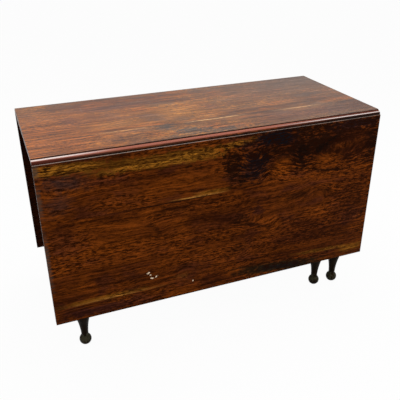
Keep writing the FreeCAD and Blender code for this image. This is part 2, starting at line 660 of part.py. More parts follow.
def hinge_pin(label, hinge, turned):
    """Make the pin of a leaf hinge, which lies along the hinge axis."""
    pin = rod(label, "Sizes.hinge_pin_radius", "Sizes.hinge_width")
    sign = -1 if turned else 1
    pin.Placement = Placement(Vector(), Rotation(Vector(0, 1, 0), 90))
    pin.setExpression("Placement.Base.x", f"{sign} * {hinge} - Sizes.hinge_width / 2")
    pin.setExpression("Placement.Base.y", f"{-sign} * {AXIS_Y}")
    pin.setExpression("Placement.Base.z", AXIS_Z)


def screw(radius, head, length):
    """Turn a countersunk screw that points up from the middle of its flat head."""
    cone = head - radius
    section = [(0, 0), (head, 0), (radius, cone), (radius, length - 2 * radius), (0, length), (0, 0)]
    wire = Part.makePolygon([Vector(across, 0, rise) for across, rise in section])
    return Part.Face(wire).revolve(Vector(), Vector(0, 0, 1), 360)


FLAP_SCREW = screw(*(number(f"Sizes.flap_screw_{part}") for part in ("radius", "head", "length")))
WOOD_SCREW = screw(*(number(f"Sizes.wood_screw_{part}") for part in ("radius", "head", "length")))
UPWARD = Rotation()
BACKWARD = Rotation(Vector(1, 0, 0), -90)
FORWARD = Rotation(Vector(1, 0, 0), 90)
HALF_TURN = Placement(Vector(), Rotation(Vector(0, 0, 1), 180))


def set_out(shape, places, turn):
    """Copy a small piece to each place, given as three formulas."""
    copies = []
    for place in places:
        copy = shape.copy()
        copy.Placement = Placement(Vector(*(number(formula) for formula in place)), turn)
        copies.append(copy)
    return copies


def at_back(copies):
    """Turn copies of front pieces half round to the back of the table."""
    turned = [copy.copy() for copy in copies]
    for copy in turned:
        copy.Placement = HALF_TURN.multiply(copy.Placement)
    return turned


def both_sides(copies):
    """Repeat front pieces at the back of the table."""
    return copies + at_back(copies)


def group(label, copies):
    """Keep like fasteners or blocks together as one sub-part of separate solids."""
    feature = doc.addObject("Part::Feature", label)
    feature.Label = label
    feature.Shape = Part.makeCompound(copies)


def peg(length):
    """Make a peg that points up from its outer end."""
    return Part.makeCylinder(number("Sizes.peg_radius"), length)


# Fixed top
side_block_holes = [(across, f"-{SIDE_BLOCK_Y}") for across in BLOCK_XS]
end_block_holes = [(f"{side} * {END_BLOCK_X}", "0") for side in (-1, 1)]
top_board("top_front_board", f"-{TOP_JOINT_Y}", side_block_holes, False)
top_board("top_back_board", TOP_JOINT_Y, side_block_holes + end_block_holes, True)

# Frame
cross_rail("cross_rail")
for turned, side in ((False, "front"), (True, "back")):
    near, far = ("right", "left") if turned else ("left", "right")
    corner_leg(f"leg_{side}_{near}", -1, turned)
    corner_leg(f"leg_{side}_{far}", 1, turned)
    side_rail(f"side_rail_{side}", turned)
    end_rail(f"end_rail_{far}", turned)
    hinge_rail(f"hinge_rail_{side}", turned)
    knuckle_pin = rod(f"knuckle_pin_{side}", "Sizes.knuckle_pin_radius", GATE_RAIL_HEIGHT)
    seat(knuckle_pin, PIN_X, f"-{FLY_Y}", RAIL_Z, turned)

    # Gate
    gate_leg(f"gate_leg_{side}", turned)
    fly_rail(f"fly_rail_{side}", turned)
    peg_y = f"-{GATE_Y} - {HALF_BLOCK}"
    peg_x = f"{GATE_X} - {PEG_FROM_FACE}"
    gate_peg = peg(number(f"{GATE_Y} + {HALF_BLOCK} - {SIDE_RAIL_Y} - {KNUCKLE} - Sizes.rebate_clear"))
    gate_pegs = set_out(gate_peg, [(peg_x, peg_y, f"{RAIL_Z} + {rise}") for rise in PEG_RISES], BACKWARD)
    group(f"gate_pegs_{side}", at_back(gate_pegs) if turned else gate_pegs)

    # Leaf with its hinges
    leaf_upper_board(f"leaf_upper_board_{side}", turned)
    leaf_lower_board(f"leaf_lower_board_{side}", turned)
    leaf_stop(f"leaf_stop_{side}", turned)
    for place, hinge in enumerate(HINGE_XS, start=1):
        top_flap(f"top_flap_{side}_{place}", hinge, turned)
        leaf_flap(f"leaf_flap_{side}_{place}", hinge, turned)
        hinge_pin(f"hinge_pin_{side}_{place}", hinge, turned)
    leaf_screw_places = [
        (f"{hinge} + {across}", f"-{AXIS_Y} + {AXIS_RISE}", f"{AXIS_Z} + {along}")
        for hinge in HINGE_XS for across, along in LEAF_SCREWS
    ]
    leaf_screws = set_out(FLAP_SCREW, leaf_screw_places, FORWARD)
    group(f"leaf_flap_screws_{side}", at_back(leaf_screws) if turned else leaf_screws)

# Fasteners of the frame
top_screw_places = [
    (f"{hinge} + {across}", f"-{AXIS_Y} + {along}", UNDER_Z)
    for hinge in HINGE_XS for across, along in TOP_SCREWS
]
group("top_flap_screws", both_sides(set_out(FLAP_SCREW, top_screw_places, UPWARD)))

rail_screw_places = [
    (f"{PIN_X} + {across}", f"-{FLY_Y} - {KNUCKLE}", f"{RAIL_Z} + {RAIL_SCREW_Z}") for across in RAIL_SCREW_XS
]
group("hinge_rail_screws", both_sides(set_out(WOOD_SCREW, rail_screw_places, BACKWARD)))

block_side = number("Sizes.glue_block_side")
block_length = number("Sizes.glue_block_length")
block_base = f"{UNDER_Z} - Sizes.glue_block_side"
shank = number("Sizes.wood_screw_radius")
head = number("Sizes.wood_screw_head")
clear = number("Sizes.screw_clear")
bored = Part.makeBox(block_length, block_side, block_side, Vector(-block_length / 2, -block_side / 2, 0))
bored = bored.cut(Part.makeCylinder(shank + clear, block_side))
bored = bored.cut(Part.makeCone(head, shank, head - shank))
side_places = [(across, f"-{SIDE_BLOCK_Y}", block_base) for across in BLOCK_XS]
end_places = [(END_BLOCK_X, "0", block_base)]
blocks = set_out(bored, side_places, UPWARD) + set_out(bored, end_places, Rotation(Vector(0, 0, 1), 90))
group("glue_blocks", both_sides(blocks))
group("glue_block_screws", both_sides(set_out(WOOD_SCREW, side_places + end_places, UPWARD)))

side_peg = peg(number("Sizes.peg_depth"))
end_peg = peg(number("Sizes.end_peg_depth"))
rail_pegs = []
for hand in (-1, 1):
    peg_x = f"{hand} * ({LEG_X} - {PEG_FROM_FACE})"
    peg_y = f"-{LEG_Y} + {PEG_FROM_FACE}"
    inward = Rotation(Vector(0, 1, 0), -90 * hand)
    side_ends = [(peg_x, f"-{LEG_Y} - {HALF_BLOCK}", f"{RAIL_Z} + {rise}") for rise in PEG_RISES]
    end_ends = [(f"{hand} * ({LEG_X} + {HALF_BLOCK})", peg_y, f"{RAIL_Z} + {rise}") for rise in PEG_RISES]
    rail_pegs += set_out(side_peg, side_ends, BACKWARD) + set_out(end_peg, end_ends, inward)
group("rail_pegs", both_sides(rail_pegs))

doc.recompute()

# Write the sub-parts once every one of them is sound
KINDS = ("PartDesign::Body", "Part::Cylinder", "Part::Feature")
sub_parts = [item for item in doc.Objects if item.TypeId in KINDS]
troubled = [item.Label for item in doc.Objects if "Invalid" in item.State or "Error" in item.State]
unsound = [item.Label for item in sub_parts if item.Shape.isNull() or not item.Shape.isValid()]
if troubled or unsound:
    raise RuntimeError(f"not built: {troubled} {unsound}")
os.makedirs("parts", exist_ok=True)
for item in sub_parts:
    item.Shape.exportStep(f"parts/{item.Label}.step")
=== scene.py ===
"""Finishes the drop-leaf table: eased boards, legs, gates, hinge irons and screws, on a plain stage."""

import json
import math
from typing import NamedTuple

import bmesh
import bpy
from mathutils import Matrix, Quaternion, Vector

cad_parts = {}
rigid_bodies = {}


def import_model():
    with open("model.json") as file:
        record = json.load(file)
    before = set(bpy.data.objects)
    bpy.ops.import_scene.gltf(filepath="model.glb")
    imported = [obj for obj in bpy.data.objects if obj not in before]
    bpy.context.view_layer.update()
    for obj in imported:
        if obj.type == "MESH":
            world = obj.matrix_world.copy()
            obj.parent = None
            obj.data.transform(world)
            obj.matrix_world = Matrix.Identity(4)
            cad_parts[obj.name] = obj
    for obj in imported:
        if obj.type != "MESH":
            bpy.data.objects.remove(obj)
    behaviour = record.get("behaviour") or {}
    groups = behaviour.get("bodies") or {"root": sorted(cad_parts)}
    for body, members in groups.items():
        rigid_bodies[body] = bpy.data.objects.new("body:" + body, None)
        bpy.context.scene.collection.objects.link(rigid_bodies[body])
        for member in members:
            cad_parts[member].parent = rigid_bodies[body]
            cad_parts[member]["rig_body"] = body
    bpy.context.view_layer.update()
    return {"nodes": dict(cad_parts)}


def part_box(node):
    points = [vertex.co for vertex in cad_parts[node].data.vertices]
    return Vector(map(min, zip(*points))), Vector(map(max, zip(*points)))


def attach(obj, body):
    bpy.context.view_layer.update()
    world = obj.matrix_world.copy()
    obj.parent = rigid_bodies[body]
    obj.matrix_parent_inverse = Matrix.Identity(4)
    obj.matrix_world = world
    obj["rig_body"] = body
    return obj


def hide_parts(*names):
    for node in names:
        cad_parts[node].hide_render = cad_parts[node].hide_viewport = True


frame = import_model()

bl_info = {
    "name": "Drop-leaf table",
    "version": (1, 0, 0),
    "blender": (4, 5, 0),
    "location": "View3D > Sidebar > Table",
    "description": "Dresses the packed table in polished wood and iron and sets it on a plain stage",
    "category": "Object",
}

SIDES = ("front", "back")
HANDS = ("left", "right")
HINGES = ("1", "2", "3")
WHITE = (1, 1, 1)

# Axes of the frame: along the table, across it and up
ALONG = 0
ACROSS = 1
UP = 2

# Places on the table that its figure and wear follow, in metres
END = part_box("top_back_board")[1][ALONG]
TOP_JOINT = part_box("top_back_board")[0][ACROSS]
TOP_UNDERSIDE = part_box("top_back_board")[0][UP]
LEAF_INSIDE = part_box("leaf_upper_board_back")[0][ACROSS]
LEAF_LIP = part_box("leaf_upper_board_back")[1][UP]
LEAF_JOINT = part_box("leaf_upper_board_back")[0][UP]
LEAF_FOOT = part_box("leaf_lower_board_back")[0][UP]
HINGE_LINE = sum(corner[ACROSS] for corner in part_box("hinge_pin_back_1")) / 2
ROUND_START = HINGE_LINE - 0.0003

# Where a board goes over from its unpolished inner side to its polished side; on the leaves the inner side
# is also darkened as painted shade
TOP_RAW = (TOP_UNDERSIDE + 0.001, TOP_UNDERSIDE + 0.004)
LEAF_RAW_AND_SHADE = (LEAF_INSIDE + 0.002, LEAF_INSIDE + 0.006)


def screen(red, green, blue):
    """Turn a colour as a screen shows it, 0 to 255, into the linear colour that a shader takes."""
    linear = []
    for level in (red, green, blue):
        level = level / 255
        linear.append(level / 12.92 if level <= 0.04045 else ((level + 0.055) / 1.055) ** 2.4)
    return tuple(linear)


def tone(name, description, red, green, blue):
    """A colour that a user may change."""
    return bpy.props.FloatVectorProperty(
        name=name, description=description, subtype="COLOR", size=3, min=0, max=1,
        default=screen(red, green, blue),
    )


def length(name, description, metres):
    """A length that a user may change."""
    return bpy.props.FloatProperty(name=name, description=description, default=metres, min=0, unit="LENGTH")


def angle(name, description, radians):
    """An angle that a user may change."""
    return bpy.props.FloatProperty(name=name, description=description, default=radians, unit="ROTATION")


def power(name, description, watts):
    """The power of a lamp, which a user may change."""
    return bpy.props.FloatProperty(name=name, description=description, default=watts, min=0, unit="POWER")


class TableTones(bpy.types.PropertyGroup):
    """Colours of the woods, the irons and what has marked them, and of the highlights and shade painted on
    them.
    """

    heart: tone("Heartwood", "Red-brown ground of the leaves", 84, 38, 9)
    amber: tone("Amber", "Clear, lighter heartwood between the dark figure", 108, 51, 10)
    umber: tone("Umber", "Dark lines of the heartwood", 44, 16, 5)
    bark: tone("Dark figure", "Brown-black blotches and streaks", 14, 7, 5)
    plum: tone("Plum", "Purple-brown patches", 46, 21, 18)
    shade: tone("Olive shade", "Green-black shade along the lower edge", 30, 23, 11)
    ink: tone("Ink", "Blue-black stain beside the knots", 10, 12, 17)
    slate: tone("Slate", "Grey-brown stain near the ends", 46, 34, 32)
    olive: tone("Olive", "Golden-olive band of the outer heartwood", 136, 87, 24)
    sapwood: tone("Sapwood", "Pale streak where a board reaches the sapwood", 172, 116, 52)
    arris: tone("Worn arris", "Edges that handling has rubbed pale", 122, 104, 92)
    dust: tone("Dust", "Dull, dusty wear beside the ends", 78, 66, 57)
    paint: tone("Paint", "Old splashes of white paint", 250, 226, 194)
    # Unpolished inner faces; on the leaves this darkness is also painted shade
    raw: tone("Inner faces", "Dark, unpolished inner faces of the boards", 24, 9, 6)
    sunned: tone("Sunned top", "Ground of the top, paled by light", 117, 71, 34)
    sunned_dark: tone("Sunned figure", "Darker lines of the paled top", 76, 43, 29)
    sunned_light: tone("Sunned amber", "Lighter lines of the paled top", 152, 98, 46)
    sunned_orange: tone("Sunned orange", "Warmer left end of the paled top", 142, 78, 33)
    sunned_grey: tone("Sunned grey", "Greyed right end and back of the paled top", 88, 67, 55)
    sunned_blue: tone("Sunned blue", "Blue-grey stain in the paled top", 64, 61, 57)
    sunned_plum: tone("Sunned plum", "Purple-brown patches of the paled top", 94, 56, 46)
    sunned_sap: tone("Sunned sapwood", "Pale streak beside the joint of the top", 178, 134, 88)
    # Painted light on the round of the rule joint: a painted pink highlight, painted shade on its lower
    # part and a brighter painted highlight
    salmon: tone("Rubbed round", "Pink-brown round of the rule joint", 166, 100, 82)
    round: tone("Foot of the round", "Red-brown lower part of the round", 74, 28, 18)
    gleam: tone("Bright round", "Brightest rubbed parts of the round", 236, 222, 216)
    # The pale lip is a painted highlight over the wear of the lip
    lip: tone("Worn lip", "Rubbed upper lip of a leaf", 186, 172, 162)
    # Dark dirt in the joints, and painted shade in the fillet and gap of the rule joint and along the lower
    # edges of the leaves
    grime: tone("Grime", "Old polish and dirt in the joints", 18, 9, 7)
    # A painted highlight on the ball feet
    scuff: tone("Scuffs", "Grey-olive scuffs on the feet", 84, 82, 64)
    leg: tone("Legs", "Dark stain of the turned legs", 17, 9, 4)
    leg_light: tone("Leg wear", "Rubbed parts of the turned legs", 40, 25, 12)
    carcase: tone("Carcase", "Unpolished rails and blocks", 96, 62, 36)
    carcase_dark: tone("Carcase grain", "Dark lines of the unpolished rails", 58, 35, 20)
    carcase_light: tone("Carcase light", "Light lines of the unpolished rails", 128, 88, 54)
    peg: tone("Pegs", "Split oak of the pegs", 122, 90, 56)
    iron: tone("Iron", "Forged iron of the hinges", 60, 56, 53)
    rust: tone("Rust", "Old rust on the irons", 78, 44, 26)


class TableArrises(bpy.types.PropertyGroup):
    """How far the arrises of the pieces are eased."""

    board: length("Boards", "Easing of the boards of the top and leaves", 0.0012)
    rail: length("Rails", "Easing of the rails and blocks", 0.0010)
    leg: length("Legs", "Easing of the square blocks of the legs", 0.0014)
    iron: length("Irons", "Easing of the flaps of the hinges", 0.0004)


class TableStage(bpy.types.PropertyGroup):
    """The camera and the lights."""

    lens: bpy.props.FloatProperty(name="Lens", description="Focal length", default=49.224, unit="CAMERA")
    place: bpy.props.FloatVectorProperty(
        name="Camera", description="Where the camera stands", subtype="TRANSLATION",
        default=(-0.678379, -1.762904, 1.327766),
    )
    turn: angle("Turn", "Turn to the right of the depth axis", 0.375438)
    dip: angle("Dip", "Dip below the level", 0.473469)
    roll: angle("Roll", "Roll about the line of sight", -0.005833)
    overhead: power("Overhead", "Power of the lamp over the table", 46)
    front: power("Front", "Power of the lamp before the table", 34)
    ambient: bpy.props.FloatProperty(
        name="Ambient", description="Strength of the light from all round", default=0.42, min=0,
    )


class Mark(NamedTuple):
    """One patch or streak of a board.

    It has a tone, a weight from 0 to 1, a middle and half sizes in metres, and a tilt in degrees.
    Its edge is soft over a share of its size, frayed by the grain and broken up by specks.
    """

    tone: str
    weight: float
    middle: tuple
    reach: tuple
    tilt: float = 0.0
    soft: float = 0.75
    fray: float = 0.7
    specks: float = 0.0


class Knot(NamedTuple):
    """A knot that pushes the growth lines aside: its middle, half sizes, push and tilt."""

    middle: tuple
    reach: tuple
    push: float
    tilt: float = 0.0


class Figure(NamedTuple):
    """What makes one board unlike the next: its knots, the marks in the wood and the wear on top of it,
    among which are painted highlights and painted shade.
    """

    knots: tuple = ()
    marks: tuple = ()
    wear: tuple = ()


class Board(NamedTuple):
    """Where in the grain a board is cut from, its figure, and the dirt, painted highlights and painted
    shade of its round if it has one.
    """

    seed: tuple
    figure: Figure
    round_wear: tuple = ()


class Ground(NamedTuple):
    """The tones of a wood from dark to light, and the tones of its warm and cool patches."""

    dark: str
    middle: str
    light: str
    warm: str
    cool: str


class Grain(NamedTuple):
    """How strongly a wood shows each of its patterns, and how fine its grain is."""

    lines: float = 4.4
    flecks: float = 1.15
    mottle: float = 0.3
    bands: float = 0.3
    tint: float = 0.5
    clouds: float = 0.45
    fine: float = 1.6


class Polish(NamedTuple):
    """How glossy and how rough a finish is, and the tint of its gloss."""

    gloss: float = 0.05
    rough: float = 0.38
    haze: tuple = WHITE


class Pattern(NamedTuple):
    """A noise, with its waves to the metre along the grain, across the face and into the board."""

    waves: tuple
    detail: float = 3.0
    roughness: float = 0.55
    distortion: float = 0.0


class Value:
    """A shader socket that Python's arithmetic works on."""

    def __init__(self, paint, socket):
        self.paint = paint
        self.socket = socket

    def __add__(self, other):
        return self.paint.maths("ADD", self, other)

    def __sub__(self, other):
        return self.paint.maths("SUBTRACT", self, other)

    def __rsub__(self, other):
        return self.paint.maths("SUBTRACT", other, self)

    def __mul__(self, other):
        return self.paint.maths("MULTIPLY", self, other)

    __radd__ = __add__
    __rmul__ = __mul__


# Sockets of a Mix node for colours, which share their names with its sockets for numbers
MIX_AMOUNT = 0
MIX_FIRST = 6
MIX_SECOND = 7
MIX_RESULT = 2


class Paint:
    """The node tree of a material or world, drawn up node by node."""

    def __init__(self, owner):
        self.owner = owner
        owner.use_nodes = True
        self.tree = owner.node_tree
        self.tree.nodes.clear()

    def node(self, kind, settings=None, sockets=None, output=0):
        """Add a node with its settings, then the values or links of its sockets."""
        made = self.tree.nodes.new("ShaderNode" + kind)
        for name, setting in (settings or {}).items():
            if name == "stops":
                self.set_stops(made.color_ramp.elements, setting)
            else:
                setattr(made, name, setting)
        for key, content in (sockets or {}).items():
            socket = made.inputs[key]
            if isinstance(content, Value):
                self.tree.links.new(content.socket, socket)
            elif socket.type == "RGBA":
                socket.default_value = (*content, 1)
            else:
                socket.default_value = content
        return Value(self, made.outputs[output]) if made.outputs else None

    def set_stops(self, elements, stops):
        """Give a ramp its stops, each with a place and a colour."""
        for place, colour in stops[len(elements):]:
            elements.new(place)
        for element, (place, colour) in zip(elements, stops):
            element.position = place
            element.color = (*colour, 1)

    def maths(self, operation, *values):
        return self.node("Math", {"operation": operation}, dict(enumerate(values)))

    def vector(self, operation, *vectors, output="Vector"):
        return self.node("VectorMath", {"operation": operation}, dict(enumerate(vectors)), output)

    def rise(self, value, low, high):
        """Go smoothly from 0 to 1 as a value goes from low to high."""
        sockets = {"Value": value, "From Min": low, "From Max": high}
        return self.node("MapRange", {"interpolation_type": "SMOOTHSTEP"}, sockets)

    def mix(self, amount, first, second, way="MIX"):
        """Mix two colours."""
        settings = {"data_type": "RGBA", "blend_type": way}
        sockets = {MIX_AMOUNT: amount, MIX_FIRST: first, MIX_SECOND: second}
        return self.node("Mix", settings, sockets, output=MIX_RESULT)

    def noise(self, point, pattern):
        """A pattern from 0 to 1."""
        sockets = {
            "Vector": self.vector("MULTIPLY", point, pattern.waves),
            "Scale": 1.0,
            "Detail": pattern.detail,
            "Roughness": pattern.roughness,
            "Distortion": pattern.distortion,
        }
        return self.node("TexNoise", None, sockets)

    def drift(self, point, pattern):
        """A pattern about zero."""
        return self.noise(point, pattern) - 0.5

    def finish(self, **sockets):
        """Close the material with one Principled shader."""
        named = {name.replace("_", " "): content for name, content in sockets.items()}
        shader = self.node("BsdfPrincipled", None, named)
        self.node("OutputMaterial", None, {"Surface": shader})
        return self.owner


def tones():
    return bpy.context.scene.table_tones


# Patterns of the woods
SWAY = Pattern((2.4, 7, 7))
CURL = Pattern((14, 26, 26), roughness=0.6)
LINES = Pattern((2.6, 100, 100), detail=5, roughness=0.7)
BANDS = Pattern((1.4, 27, 27))
FLECKS = Pattern((36, 125, 125), detail=4, roughness=0.7)
BLOTS = Pattern((22, 46, 46), detail=6, roughness=0.66, distortion=0.5)
CLOUDS = Pattern((3, 6, 6), detail=2)
SPECKS = Pattern((300, 300, 300), detail=1)
HUE = Pattern((9, 20, 20), detail=5, roughness=0.62)
PORES = Pattern((70, 1300, 1300), detail=1)

# How far the grain strays, in metres
SWAY_ACROSS = 0.03
SWAY_INWARD = 0.02
CURL_ACROSS = 0.014

# Levels of a pattern between which something sets in
FLECK_RISE = (0.38, 0.62)
PORE_RISE = (0.60, 0.70)
VEIN_RISE = (0.05, 0.0)
LIVELY_RISE = (-0.12, 0.12)
WARM_RISE = (0.50, 0.66)
COOL_RISE = (0.50, 0.34)
DEEP_RISE = (-0.12, -0.6)
END_GRAIN_RISE = (0.75, 0.95)
RUBBED_RISE = (-0.12, 0.10)

# Levels at which a wood is darkest, middling and lightest
DARK_STOP = 0.2
MIDDLE_STOP = 0.48
LIGHT_STOP = 0.84

# How strongly each thing shows
BAND_DEPTH = 1.3
VEIN_DARKNESS = 0.2
FIGURE_LEVEL = 1.06
FIGURE_FLOOR = 0.2
DEEP_DARKNESS = 0.5
PORE_DARKNESS = 0.45
END_GRAIN_DARKNESS = 0.75
RUBBED_PALENESS = 0.55
# The darkening of the inner sides is unpolished wood, and on the leaves painted shade too
RAW_AND_SHADE_DARKNESS = 0.8
RAW_ROUGHNESS = 0.3
FLECK_ROUGHNESS = 0.1

# Shares of the patterns in the fraying of marks, in the lively and the rubbed patches, and in the relief
FRAY_BLOTS = 2.2
FRAY_FLECKS = 0.35
FRAY_LINES = 0.8
LIVELY_BANDS = 0.5
LIVELY_LEAST = 0.5
RUBBED_FLECKS = 0.3
LINE_HEIGHT = 0.5
FLECK_HEIGHT = 0.15
PORE_DEPTH = 0.6
WOOD_BUMP = {"Strength": 0.12, "Distance": 0.0006}

# Name of the attribute that says which faces of a piece are eased arrises
WORN = "worn"


class Growth(NamedTuple):
    """The patterns of one wood; veins, hue and pores run from 0 to 1 and the others about zero."""

    face: Value
    lines: Value
    bands: Value
    flecks: Value
    blots: Value
    clouds: Value
    specks: Value
    veins: Value
    hue: Value
    pores: Value
    fray: Value


def grain_point(paint, lie):
    """Object coordinates turned so that the first runs along the grain and the second across the face."""
    place = paint.node("TexCoord", output="Object")
    axes = {axis: paint.node("SeparateXYZ", None, {0: place}, output=axis) for axis in "XYZ"}
    return paint.node("CombineXYZ", None, {index: axes[axis] for index, axis in enumerate(lie)})


def around(paint, face, spot):
    """Coordinates about the middle of a mark or knot, in its own half sizes."""
    sockets = {
        "Vector": face,
        "Location": (*spot.middle, 0),
        "Rotation": (0, 0, math.radians(spot.tilt)),
        "Scale": (*spot.reach, 1),
    }
    return paint.node("Mapping", {"vector_type": "TEXTURE"}, sockets)


def bend(paint, face, knots, push):
    """Add up how far the knots push the growth lines across the board."""
    for knot in knots:
        local = around(paint, face, knot)
        squared = paint.vector("DOT_PRODUCT", local, local, output="Value")
        push = paint.maths("POWER", 1 / math.e, squared) * knot.push + push
    return push


def grow(paint, point, seed, knots, fine):
    """Lay out the patterns of a wood whose grain sways, curls and bends round its knots."""
    face = paint.vector("MULTIPLY", point, (1, 1, 0))
    own = paint.vector("ADD", point, seed)
    sway = paint.drift(own, SWAY)
    aside = bend(paint, face, knots, sway * SWAY_ACROSS + paint.drift(own, CURL) * CURL_ACROSS)
    flow = paint.vector("ADD", own, paint.node("CombineXYZ", None, {1: aside, 2: sway * SWAY_INWARD}))
    grown = paint.vector("MULTIPLY", flow, (fine, fine, fine))
    lines = paint.drift(grown, LINES)
    flecks = paint.rise(paint.noise(grown, FLECKS), *FLECK_RISE) - 0.5
    blots = paint.drift(grown, BLOTS)
    return Growth(
        face=face,
        lines=lines,
        bands=paint.drift(flow, BANDS),
        flecks=flecks,
        blots=blots,
        clouds=paint.drift(own, CLOUDS),
        specks=paint.drift(own, SPECKS),
        veins=paint.rise(paint.maths("ABSOLUTE", lines), *VEIN_RISE),
        hue=paint.noise(own, HUE),
        pores=paint.rise(paint.noise(flow, PORES), *PORE_RISE),
        fray=blots * FRAY_BLOTS + flecks * FRAY_FLECKS + lines * FRAY_LINES,
    )


def lay_ground(paint, growth, shades, grain):
    """Shade a wood from dark to light, with patches of its warm and cool tones."""
    depth = growth.bands * (BAND_DEPTH * grain.bands) + growth.blots * grain.mottle
    depth = depth + growth.clouds * grain.clouds + 0.5
    stops = ((DARK_STOP, shades.dark), (MIDDLE_STOP, shades.middle), (LIGHT_STOP, shades.light))
    colour = paint.node("ValToRGB", {"stops": stops}, {"Fac": depth})
    colour = paint.mix(paint.rise(growth.hue, *WARM_RISE) * grain.tint, colour, shades.warm)
    return paint.mix(paint.rise(growth.hue, *COOL_RISE) * grain.tint, colour, shades.cool)


def lay_marks(paint, colour, growth, marks, shown=None):
    """Lay patches and streaks with blunt, frayed ends over a colour, only where the board shows."""
    palette = tones()
    for mark in marks:
        local = around(paint, growth.face, mark)
        squared = paint.vector("MULTIPLY", local, local)
        out = paint.maths("SQRT", paint.vector("LENGTH", squared, output="Value"))
        if mark.fray:
            out = growth.fray * mark.fray + out
        if mark.specks:
            out = growth.specks * mark.specks + out
        amount = paint.rise(out, 1.0, 1.0 - mark.soft) * mark.weight
        if shown:
            amount = amount * shown
        colour = paint.mix(amount, colour, getattr(palette, mark.tone))
    return colour


def draw_grain(paint, colour, growth, grain, dark):
    """Draw the lines, flecks, veins and pores of the grain over a colour."""
    lively = paint.rise(growth.clouds + growth.bands * LIVELY_BANDS, *LIVELY_RISE) + LIVELY_LEAST
    figured = growth.lines * grain.lines + growth.flecks * grain.flecks * lively
    figured = figured + growth.blots * grain.mottle - growth.veins * VEIN_DARKNESS
    level = paint.maths("MAXIMUM", figured + FIGURE_LEVEL, FIGURE_FLOOR)
    colour = paint.mix(1.0, colour, level, "MULTIPLY")
    colour = paint.mix(paint.rise(figured, *DEEP_RISE) * DEEP_DARKNESS, colour, dark)
    return paint.mix(growth.pores * PORE_DARKNESS, colour, dark)


def darken_ends(paint, colour, grain_axis, dark):
    """Darken the faces that are cut across the grain."""
    facing = paint.node("TexCoord", output="Normal")
    along = tuple(float(axis == grain_axis) for axis in "XYZ")
    cut = paint.maths("ABSOLUTE", paint.vector("DOT_PRODUCT", facing, along, output="Value"))
    return paint.mix(paint.rise(cut, *END_GRAIN_RISE) * END_GRAIN_DARKNESS, colour, dark)


def rub_arrises(paint, colour, growth):
    """Pale the eased arrises in patches."""
    worn = paint.node("Attribute", {"attribute_name": WORN}, output="Fac")
    patches = paint.rise(growth.blots + growth.flecks * RUBBED_FLECKS, *RUBBED_RISE)
    return paint.mix(worn * patches * RUBBED_PALENESS, colour, tones().arris)


def polished_side(paint, point, raw):
    """0 on the raw inner side of a board and 1 on its polished side."""
    inward = paint.node("SeparateXYZ", None, {0: point}, output="Z")
    return paint.rise(paint.maths("ABSOLUTE", inward), *raw)


def wood(name, lie, seed, ground, figure=Figure(), grain=Grain(), polish=Polish(), raw=None):
    """A wood with its own grain, knots, marks, end grain, worn arrises, wear and polish, where the marks
    and wear may hold painted highlights and painted shade.
    """
    palette = tones()
    shades = Ground(*(getattr(palette, each) for each in ground))
    paint = Paint(bpy.data.materials.new(name))
    point = grain_point(paint, lie)
    growth = grow(paint, point, seed, figure.knots, grain.fine)
    colour = lay_ground(paint, growth, shades, grain)
    colour = lay_marks(paint, colour, growth, figure.marks)
    colour = draw_grain(paint, colour, growth, grain, shades.dark)
    colour = darken_ends(paint, colour, lie[0], shades.dark)
    colour = rub_arrises(paint, colour, growth)
    roughness = growth.flecks * FLECK_ROUGHNESS + polish.rough
    shown = None
    # Darken the inner side: unpolished wood, and on the leaves painted shade as well
    if raw:
        shown = polished_side(paint, point, raw)
        colour = paint.mix((1 - shown) * RAW_AND_SHADE_DARKNESS, colour, palette.raw)
        roughness = (1 - shown) * RAW_ROUGHNESS + roughness
    colour = lay_marks(paint, colour, growth, figure.wear, shown)
    height = growth.lines * LINE_HEIGHT + growth.flecks * FLECK_HEIGHT - growth.pores * PORE_DEPTH
    normal = paint.node("Bump", None, {**WOOD_BUMP, "Height": height})
    return paint.finish(
        Base_Color=colour, Roughness=roughness, Normal=normal,
        Specular_IOR_Level=polish.gloss, Specular_Tint=polish.haze,
    )


# Half sizes of marks that run past both ends of a board, and past all the legs
PAST_ENDS = 2.0
PAST_LEGS = 4.0

